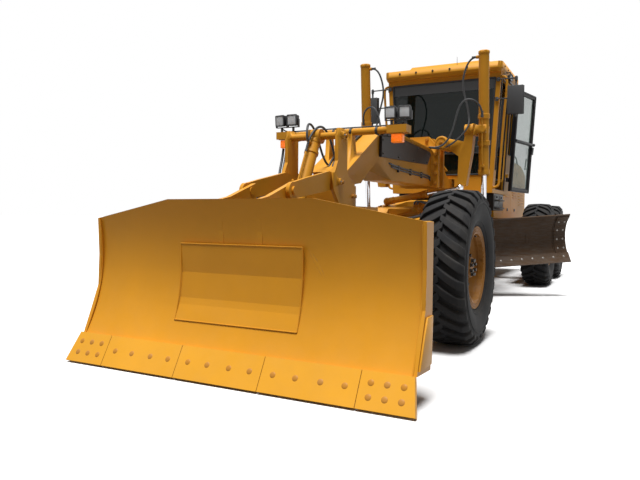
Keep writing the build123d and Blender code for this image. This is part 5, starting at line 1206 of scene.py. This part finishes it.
# ================================================================ drawbar, circle and moldboard
DRAWBAR_PLACE = stood((0, at(2.58), 1.1), 8, "X")
CIRCLE_PLACE = DRAWBAR_PLACE @ Matrix.Rotation(radians(32), 4, "Z")
MOLDBOARD_PLACE = CIRCLE_PLACE @ Matrix.Translation((0.2, 0, 0))
ARC_RADIUS, ARC_BACK, ARC_MIDDLE = 0.413, 0.3, -0.425
ARC_HALF, HALF_BLADE = 0.8312, 1.829


def arc_point(x, radius, angle):
    """Point on the moldboard's curve, in its own frame."""
    return Vector((x, ARC_BACK - ARC_RADIUS + radius * cos(angle), ARC_MIDDLE + radius * sin(angle)))


def moldboard_fittings():
    """Bolts and nuts of the cutting edge, end strips, top bead, and the fittings of the bracket and side shift."""
    low = arc_point(0, ARC_RADIUS - 0.0003, -ARC_HALF)
    slope = Vector((0, sin(ARC_HALF - 0.18), cos(ARC_HALF - 0.18)))
    inward = Vector((0, -slope.z, slope.y))
    feet = [Vector((-1.748 + 0.152 * index, low.y, low.z)) for index in range(24)]
    spots = [(foot + slope * 0.03 + inward * 0.0192, inward) for foot in feet]
    plough_bolts("cutting_edge_bolts", directed(MOLDBOARD_PLACE, spots), "moldboard", radius=0.016)
    nuts = [(foot + slope * 0.075 - inward * 0.024, -inward) for foot in feet]
    bolts("cutting_edge_nuts", directed(MOLDBOARD_PLACE, nuts), "moldboard", 0.028, 0.016, "dark_bolt")
    # rolled top bead, end strips with their bolts and the weld seam across the face
    bead = [rod(*(arc_point(x, ARC_RADIUS + 0.011, ARC_HALF + 0.006) for x in (-HALF_BLADE, HALF_BLADE)), 0.012, 20,
        0.002)]
    strips, spots = [], []
    for side in (-1, 1):
        seam = [arc_point(side * 1.64, ARC_RADIUS - 0.001, -0.52 + 1.33 * step / 14) for step in range(15)]
        strips.append(hose(seam, 0.0055, 3))
        outline = [arc_point(side * 1.655, ARC_RADIUS, -0.6 + 1.4 * step / 16) for step in range(17)]
        inner = [arc_point(side * 1.655, ARC_RADIUS - 0.01, 0.8 - 1.4 * step / 16) for step in range(17)]
        strips.append(plate(outline + inner, side * 0.172, X, 0.002))
        for x in (1.7, 1.785):
            for angle in (-0.42, -0.1, 0.22, 0.54):
                point = arc_point(side * x, ARC_RADIUS - 0.01, angle)
                spots.append((point, Vector((0, -cos(angle), -sin(angle)))))
    fitted("moldboard_end_bits", turned(strips, MOLDBOARD_PLACE), "moldboard", "moldboard")
    fitted("moldboard_top_bead", turned(bead, MOLDBOARD_PLACE), "moldboard", "moldboard")
    plough_bolts("moldboard_end_bolts", directed(MOLDBOARD_PLACE, spots), "moldboard", radius=0.015)
    # the bracket's bolts and side-shift fittings
    spots = [((x + step, y, z), (0, 1, 0.096)) for x in (-0.47, 0.47) for y, z in ((0.4158, -0.3), (0.4408, -0.56))
             for step in (-0.03, 0.03)]
    bolts("bracket_bolts", directed(CIRCLE_PLACE, spots), "blade_bracket", 0.022, 0.012)
    y, z = 0.395, -0.43
    parts = [spun([(0.026, 0.0), (0.046, 0.0), (0.054, 0.008), (0.054, 0.04), (0.045, 0.044)], (0.35 - 0.036, y, z),
        X, 40), spun([(0.0, 0.0), (0.04, 0.0), (0.05, 0.008), (0.05, 0.03), (0.045, 0.034)], (-1.014, y, z), X, 40)]
    for x in (-0.96, 0.27):
        parts.append(rod((x, y, z + 0.04), (x, y, z + 0.074), 0.015, 20))
    fitted("side_shift_glands", turned(parts, CIRCLE_PLACE), "blade_bracket", "yellow")
    feeds = [hose([(-0.96, y, z + 0.072), (-0.96, y, z + 0.15), (-0.9, y + 0.004, z + 0.225),
        (-0.7, y + 0.004, z + 0.23), (-0.47, y + 0.004, z + 0.232), (-0.25, y + 0.01, z + 0.235),
        (-0.08, y + 0.04, z + 0.245), (-0.03, y + 0.09, z + 0.245), (-0.03, y + 0.14, z + 0.24)], 0.01),
        hose([(0.27, y, z + 0.072), (0.27, y, z + 0.14), (0.23, y + 0.004, z + 0.205), (0.13, y + 0.01, z + 0.232),
        (0.05, y + 0.04, z + 0.245), (0.03, y + 0.09, z + 0.245), (0.03, y + 0.14, z + 0.24)], 0.01)]
    bridging("side_shift_hoses", turned(feeds, CIRCLE_PLACE))


def drawbar_fittings():
    """Bolts, circle drive, seams and hoses of the drawbar, bolts of the circle, glands of the centre shift."""
    spots = [((x + dx, y + dy, 0.185), Z) for x in (-0.56, 0.56) for y in (-0.3, 0.33)
             for dy in (-0.034, 0.034) for dx in (-0.034, 0.034)]
    spots += [((a, b - 0.415, 0.237), Z) for a, b in around(8, 0.068, 0.2)]
    bolts("drawbar_bolts", directed(DRAWBAR_PLACE, spots), "drawbar", 0.026, 0.014)
    parts = [spun([(0.04, 0.0), (0.05, 0.0), (0.052, 0.004), (0.052, 0.014), (0.04, 0.016)], (0, -0.52, 0.189),
        (0, -1, 0), 40), spun([(0.0, 0.01), (0.028, 0.01), (0.036, 0.006), (0.041, -0.002), (0.041, -0.02),
        (0.04, -0.022)], (0, -0.64, 0.189), (0, -1, 0), 40), spun([(0.0, 0.02), (0.03, 0.02), (0.04, 0.014),
        (0.044, 0.0)], (0, -0.415, 0.237), Z, 40), spun([(0.084, -0.01), (0.09, -0.008), (0.09, 0.006),
        (0.082, 0.01)], (0, -0.415, 0.2), Z, 48)]
    for x in (-0.022, 0.022):
        parts.append(rod((x, -0.59, 0.222), (x, -0.59, 0.25), 0.012, 16))
    # seams where the side beams meet the cross beams, and seams along the side beams to the nose
    for side in (-1, 1):
        for x, y in ((0.64, -0.3), (0.5, 0.47)):
            parts.append(rod((side * x, y, 0.075), (side * x, y, 0.185), 0.005, 8, 0))
        parts.append(hose([(side * 0.112, -2.16, 0.1865), (side * 0.3, -1.5, 0.1865), (side * 0.45, -0.966, 0.1865),
            (side * 0.63, -0.335, 0.1865)], 0.004, 3))
    fitted("drawbar_drive_fittings", turned(parts, DRAWBAR_PLACE), "drawbar", "yellow")
    feeds = []
    for x, gap in ((-0.022, 0.0), (0.022, 0.032)):
        local = [(x, -0.59, 0.248), (x, -0.592, 0.29), (x + 0.06, -0.62, 0.3), (0.2 + gap, -0.68, 0.262),
            (0.335 + gap, -0.86, 0.205), (0.27 + gap, -1.15, 0.199), (0.18 + gap, -1.5, 0.199),
            (0.1 + gap, -1.8, 0.201), (0.072 + gap, -1.93, 0.212)]
        feeds.append(hose([DRAWBAR_PLACE @ Vector(point) for point in local] + [here(0.115 + gap, 0.54, 1.085),
            here(0.12 + gap * 0.5, 0.4, 1.12), here(0.105 + gap, 0.262, 1.12)], 0.011))
    bridging("drawbar_hoses", feeds)
    clips = [block((0.25, -1.222, 0.185), (0.345, -1.198, 0.222), 0.003), block((0.165, -1.562, 0.185),
        (0.26, -1.538, 0.222), 0.003)]
    fitted("drawbar_hose_clips", turned(clips, DRAWBAR_PLACE), "drawbar", "dark_bolt")
    # circle: bolts on the blade arms and washers at the tip pins
    spots, plates = [], []
    for x in (-0.56, 0.56):
        side = 1 if x > 0 else -1
        for y, z in ((-0.26, -0.062), (0.0, -0.062), (0.46, -0.1), (0.5, -0.22)):
            spots.append(((x + side * 0.02, y, z), (side, 0, 0)))
        plates.append(spun([(0.0, 0.01), (0.04, 0.01), (0.047, 0.006), (0.047, 0.0), (0.0, 0.0)],
            (x + side * 0.0335, 0.44, -0.625), (side, 0, 0), 32))
    bolts("circle_arm_bolts", directed(CIRCLE_PLACE, spots), "circle", 0.024, 0.012)
    fitted("tip_pin_washers", turned(plates, CIRCLE_PLACE), "blade_bracket", "yellow", 30)
    # centre-shift cylinder
    pin = DRAWBAR_PLACE @ Vector((-0.52, -0.22, 0.247))
    eye = here(0.52, 2.06, 1.47)
    axis = (eye - pin).normalized()
    rise = Vector(Z) - axis * axis.z
    rise.normalize()
    ahead = axis.cross(rise)
    ahead = ahead if ahead.y < 0 else -ahead
    parts = [spun([(0.023, 0.004), (0.04, 0.004), (0.047, 0.0), (0.05, -0.01), (0.05, -0.05), (0.042, -0.054)],
        pin + axis * 0.62, axis, 40), hoop(0.0415, 0.048, 0.012, 0.009, pin + axis * 0.1, axis, 40)]
    for along in (0.12, 0.545):
        parts.append(rod(pin + axis * along + ahead * 0.036, pin + axis * along + ahead * 0.07, 0.014, 20))
    fitted("centre_shift_glands", parts, "shift_barrel", "yellow")


# ================================================================ rear machine
HOOD_FACE, HOOD_DOORS, RAIL_X = 0.419, (4.76, 5.5, 6.24), 0.39
STACK_S, CLEANER_S, BUMPER_S = 5.9, 5.4, 8.0


def hood_fittings():
    """Door hinges and latches, louvres, grab rails and filler caps on the engine hood."""
    dark, black, paint, ribs = [], [], [], []

    def louvre(foot, lip, s, z, drop, length):
        """A slat whose lip stands out between two drops below its top edge."""
        ribs.append(plate(path([(foot, s, z), (lip[0], s, z - drop), (lip[1], s, z - drop - lip[2]),
            (foot, s, z - drop - lip[2])]), length, Y, 0.0015))

    for side in (1, -1):
        face = side * HOOD_FACE
        for s in HOOD_DOORS:
            for middle in (s + 0.12, s + 0.58):
                paint.append(bar((face + side * 0.008, middle - 0.035, 1.966), (face + side * 0.008, middle + 0.035,
                    1.966), 0.01, 16, 0.001))
                paint.append(box((face - side * 0.002, middle - 0.03, 1.916), (face + side * 0.006, middle + 0.03,
                    1.962), 0.002))
            black.append(box((face, s + 0.31, 1.232), (face + side * 0.01, s + 0.39, 1.282), 0.004))
            dark.append(box((face, s + 0.322, 1.24), (face + side * 0.017, s + 0.378, 1.258), 0.004))
            for ridge in range(7):
                louvre(face - side * 0.002, (face + side * 0.013, face + side * 0.011, 0.004), s + 0.13,
                    1.5 + ridge * 0.045, 0.012, 0.44)
        for ridge in range(9):
            louvre(side * 0.418, (side * 0.435, side * 0.433, 0.005), 7.06, 1.38 + ridge * 0.055, 0.014, 0.62)
        dark.append(pipe([(RAIL_X, s, z) for s, z in ((5.1, 2.15), (5.1, 2.26), (5.18, 2.31), (6.0, 2.3), (6.9, 2.29),
            (6.98, 2.24), (6.98, 2.13))], 0.014, side))
        for s in (5.1, 6.04, 6.98):
            dark.append(bar((side * RAIL_X, s, 2.13), (side * RAIL_X, s, 2.176), 0.024, 24, 0.002))
        dark.append(bar((side * RAIL_X, 6.04, 2.13), (side * RAIL_X, 6.04, 2.3), 0.012, 16, 0))
    fitted("hood_louvres", ribs, REAR, "yellow", 30)
    fitted("hood_hinges", paint, REAR, "bolt", 30)
    fitted("hood_latch_bases", black, REAR, "plastic", 35)
    fitted("hood_rails_and_latches", dark, REAR, "black_paint")
    caps = []
    for x, s, radius in ((0.2, 6.55, 0.055), (-0.18, 7.1, 0.05), (-0.22, 5.25, 0.04)):
        top = 2.18 - 0.04 * (s - 4.64) / 2.66          # the hood's top falls 40 mm towards its back
        caps.append(spun([(0.0, 0.034), (radius * 0.8, 0.034), (radius * 0.92, 0.028), (radius, 0.018),
            (radius, 0.01), (radius * 1.15, 0.008), (radius * 1.15, -0.01)], (x, at(s), top), Z, 40))
        caps.append(box((x - radius * 0.75, s - 0.008, top + 0.03), (x + radius * 0.75, s + 0.008, top + 0.044),
            0.004))
    fitted("hood_filler_caps", caps, REAR, "black_paint", 35)


def stack_fittings():
    """Exhaust and air cleaner: straps, clamps, rain cap, bands, and painted shade in the heat shield's slots."""
    y = at(STACK_S)
    pieces = [hoop(0.0952, 0.0995, 0.014, 0.013, (0, y, z), Z, 64) for z in (2.27, 2.54)]
    pieces += [hoop(0.0522, 0.0565, 0.012, 0.011, (0, y, z), Z, 48) for z in (2.665, 3.12)]
    lid = spun([(0.0, 0.006), (0.04, 0.006), (0.062, 0.001), (0.063, -0.002), (0.06, -0.003), (0.0, 0.001)],
        (0, 0, 0), Z, 48)
    turned([lid], stood((0, y + 0.052, 3.17), -34, "X") @ Matrix.Translation((0, -0.056, 0)))
    pieces += [lid, rod((-0.034, y + 0.06, 3.166), (0.034, y + 0.06, 3.166), 0.006, 16, 0.001),
               block((-0.02, y + 0.054, 3.15), (0.02, y + 0.07, 3.17), 0.002)]
    for turn in range(3):
        angle = radians(90 + 120 * turn)
        x, s = 0.099 * cos(angle), STACK_S + 0.099 * sin(angle)
        pieces.append(box((x - 0.01, s - 0.01, 2.262), (x + 0.01, s + 0.01, 2.278), 0.002))
    fitted("exhaust_straps_and_cap", pieces, REAR, "steel", 35)
    # The heat shield's slots are flush dark patches: painted shade standing for the dark inside of the openings.
    slots = []
    for row in range(5):
        for turn in range(18):
            angle = radians(20 * turn + 10 * (row % 2))
            spot = block((-0.0085, -0.002, -0.019), (0.0085, 0.002, 0.019), 0.0015)
            spot.data.transform(Matrix.Translation((0.0955 * cos(angle), y + 0.0955 * sin(angle),
                2.312 + 0.048 * row)) @ Matrix.Rotation(angle + pi / 2, 4, "Z"))
            slots.append(spot)
    fitted("muffler_shield_slots", slots, REAR, "plastic", 35)
    y = at(CLEANER_S)
    bands = [hoop(0.1245, 0.1285, 0.01, 0.009, (0, y, z), Z, 64) for z in (2.455, 2.565)]
    bands.append(spun([(0.0, 0.04), (0.016, 0.038), (0.02, 0.03), (0.012, 0.018), (0.01, -0.004)], (0, y, 2.6), Z,
        32))
    bands.append(hoop(0.0605, 0.065, 0.015, 0.013, (0, y, 2.315), Z, 48))
    fitted("air_cleaner_bands", bands, REAR, "dark_bolt", 35)


def tail_fittings():
    """Tail lamps, reflectors, bumper bolts and the covers and plugs of the tandems."""
    red, amber, black, spots, covers = [], [], [], [], []
    back = at(BUMPER_S)
    for side in (1, -1):
        black.append(box((side * 0.4 - 0.085, BUMPER_S - 0.004, 0.925), (side * 0.4 + 0.085, BUMPER_S + 0.016, 1.035),
            0.006))
        red.append(spun([(0.0, 0.01), (0.026, 0.009), (0.036, 0.003), (0.037, -0.004)], (side * 0.44, back + 0.014,
            0.98), Y, 40))
        amber.append(spun([(0.0, 0.01), (0.022, 0.009), (0.03, 0.003), (0.031, -0.004)], (side * 0.358, back + 0.014,
            0.98), Y, 40))
        red.append(box((side * 0.44 - 0.045, BUMPER_S - 0.003, 0.85), (side * 0.44 + 0.045, BUMPER_S + 0.006, 0.88),
            0.003))
        spots += [((side * 0.32 + x, back, z), Y) for z in (0.745, 0.815) for x in (-0.045, 0.045)]
        out = side * 0.796
        covers.append(spun([(0.0, 0.012), (0.12, 0.012), (0.13, 0.008), (0.175, 0.008), (0.18, 0.004),
            (0.18, -0.004)], (out, at(TANDEM_S), 0.735), (side, 0, 0), 64))
        spots += [((out + side * 0.008, at(TANDEM_S) + b, 0.735 + a), (side, 0, 0)) for a, b in around(12, 0.155)]
        for s in (TANDEM_S - TANDEM_REACH, TANDEM_S + TANDEM_REACH):
            covers.append(spun([(0.0, 0.024), (0.018, 0.024), (0.021, 0.02), (0.021, 0.01), (0.03, 0.008),
                (0.03, -0.004)], (side * 0.62, at(s), 0.888), Z, 24))
    fitted("tail_lamp_housings", black, REAR, "plastic", 35)
    fitted("tail_lamp_red", red, REAR, "red", 35)
    fitted("tail_lamp_amber", amber, REAR, "amber", 35)
    fitted("tandem_covers", covers, REAR, "yellow", 30)
    bolts("rear_bolts", spots, REAR, 0.026, 0.014)


# ================================================================ front axle
def axle_fittings():
    """Pin caps, grease nipples, knuckle bolts, and the boots and clamps of the tie rod."""
    for side, word in ((1, "left"), (-1, "right")):
        place = here(side * 0.8, 0, 0.834)
        caps = [button(0.024, 0.03, 0.007, 0.003, 0.0, place, Z, 32)]
        for s, face in ((-0.119, -1), (0.119, 1)):
            caps.append(button(0.022, 0.028, 0.008, 0.004, -0.002, (side * 0.64, at(s), 0.6), (0, face, 0), 32))
            caps.append(button(0.016, 0.022, 0.008, 0.004, -0.006, (side * 0.64, at(s), 1.02), (0, face, 0), 32))
        fitted(f"lean_pin_caps_{word}", caps, f"lean_{word}", "yellow")
        greases = nipple(place + Vector((0, 0, 0.006)), Z) + nipple((side * 0.64, at(-0.125), 0.604), (0, -1, 0))
        fitted(f"lean_grease_nipples_{word}", greases, f"lean_{word}", "steel")
        spots = [((side * 0.887, at(y), z), (side, 0, 0)) for y in (-0.065, 0.065) for z in (0.56, 0.79)]
        bolts(f"knuckle_bolts_{word}", spots, f"knuckle_{word}", 0.024, 0.013)
        # bellows of the tie rod's ball joint
        stud = here(side * 0.72, 0.285, 0.455)
        folds = [(0.03, 0.0), (0.034, 0.003), (0.029, 0.006), (0.032, 0.009), (0.029, 0.012)]
        fitted(f"tie_rod_boot_{word}", [spun(folds, stud, Z, 32)], "tie_rod", "rubber")
    clamps = []
    for side in (-1, 1):
        clamps.append(hoop(0.0265, 0.034, 0.018, 0.016, (side * 0.6, at(0.285), 0.428), X, 32))
        clamps.append(bar((side * 0.6, 0.325, 0.412), (side * 0.6, 0.325, 0.446), 0.006, 6))
    fitted("tie_rod_clamps", clamps, "tie_rod", "steel")


def surface_copies():
    """Each CAD node but the tyres, lamps and front blade shown through a merged copy of its mesh, shaded smooth."""
    for name, shape in frame["nodes"].items():
        if name.startswith("tyre") or name in ("lamps", "front_blade"):
            continue
        skin = bpy.data.objects.new(name + "_surface", shape.data.copy())
        bpy.context.collection.objects.link(skin)
        edit_all(skin)
        bpy.ops.mesh.remove_doubles(threshold=2e-5)
        bpy.ops.mesh.dissolve_degenerate(threshold=2e-4)
        if name == "engine_hood":
            bpy.ops.mesh.dissolve_limited(angle_limit=radians(1.0))
        leave_edit()
        smooth(skin, 30)
        applied(skin, "WEIGHTED_NORMAL", keep_sharp=True, weight=50)
        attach(skin, shape["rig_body"])
        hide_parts(name)


wheels()
front_blade_fittings()
lamp_bar_fittings()
lift_cylinder_fittings()
cab_outside()
doors()
cab_inside()
frame_fittings()
front_lift_fittings()
moldboard_fittings()
drawbar_fittings()
hood_fittings()
stack_fittings()
tail_fittings()
axle_fittings()
surface_copies()


# ================================================================ floor, light and camera
def seen_directly(tree, *rays):
    """Light Path outputs joined: 1 where one of these rays meets the surface."""
    path = tree.nodes.new("ShaderNodeLightPath")
    total = path.outputs[rays[0]]
    for ray in rays[1:]:
        step = tree.nodes.new("ShaderNodeMath")
        step.operation = "MAXIMUM"
        tree.links.new(total, step.inputs[0])
        tree.links.new(path.outputs[ray], step.inputs[1])
        total = step.outputs["Value"]
    return total


SEEN = ("Is Camera Ray", "Is Glossy Ray", "Is Transmission Ray")
FLOOR_LIT, FLOOR_SHOWN = 0.2, 0.86


def floor():
    """Pale floor that keeps the machine's shadow; it throws back less light than it shows."""
    deselect()
    bpy.ops.mesh.primitive_plane_add(size=600, location=(0, 0, 0))
    sheet = bpy.context.object
    sheet.name = "studio_floor"
    made, tree, shader = material("studio_floor")
    mix = tree.nodes.new("ShaderNodeMix")
    mix.data_type = "RGBA"
    mix.inputs["A"].default_value = (*[FLOOR_LIT] * 3, 1)
    mix.inputs["B"].default_value = (*[FLOOR_SHOWN] * 3, 1)
    tree.links.new(seen_directly(tree, *SEEN), mix.inputs["Factor"])
    fed(tree, shader, Base_Color=(mix, "Result"))
    shader.inputs["Roughness"].default_value = 0.95
    shader.inputs["Specular IOR Level"].default_value = 0.0
    sheet.data.materials.append(made)


def studio_sky(ambient):
    """Soft light from all round, shown as plain white."""
    world = bpy.data.worlds.new("studio")
    bpy.context.scene.world = world
    world.use_nodes = True
    tree = world.node_tree
    background = tree.nodes["Background"]
    background.inputs["Color"].default_value = (1.0, 1.0, 1.0, 1)
    strength = tree.nodes.new("ShaderNodeMapRange")
    strength.inputs["To Min"].default_value = ambient
    strength.inputs["To Max"].default_value = 1.0
    tree.links.new(seen_directly(tree, *SEEN), strength.inputs["Value"])
    fed(tree, background, Strength=(strength, "Result"))


def soft_key(height, bearing, strength, spread):
    """One large soft light high over the front; angles in degrees."""
    data = bpy.data.lights.new("overhead_key", "SUN")
    data.energy, data.angle = strength, radians(spread)
    lamp = bpy.data.objects.new("overhead_key", data)
    away = Vector((sin(radians(bearing)) * cos(radians(height)), -cos(radians(bearing)) * cos(radians(height)),
        sin(radians(height))))
    lamp.rotation_euler = (-away).to_track_quat("-Z", "Y").to_euler()
    lamp.location = away * 20
    bpy.context.collection.objects.link(lamp)


floor()
studio_sky(0.12)
soft_key(77, 8, 5.5, 28)

CAMERA_PLACE, CAMERA_LENS = (2.357, -8.192, 1.1045), 33.58
CAMERA_AZIMUTH, CAMERA_PITCH, CAMERA_ROLL = radians(27.28), radians(-2.25), radians(0.5)
camera_data = bpy.data.cameras.new("camera")
camera_data.lens, camera_data.sensor_width = CAMERA_LENS, 36.0
camera = bpy.data.objects.new("camera", camera_data)
bpy.context.collection.objects.link(camera)
looking = Vector((-sin(CAMERA_AZIMUTH) * cos(CAMERA_PITCH), cos(CAMERA_AZIMUTH) * cos(CAMERA_PITCH),
    sin(CAMERA_PITCH)))
right = Vector((cos(CAMERA_AZIMUTH), sin(CAMERA_AZIMUTH), 0))
up = right.cross(looking)
turn = Matrix((right, up, -looking)).transposed() @ Matrix.Rotation(CAMERA_ROLL, 3, "Z")
camera.matrix_world = Matrix.Translation(CAMERA_PLACE) @ turn.to_4x4()
bpy.context.scene.camera = camera
bpy.context.scene.view_settings.view_transform = "Standard"
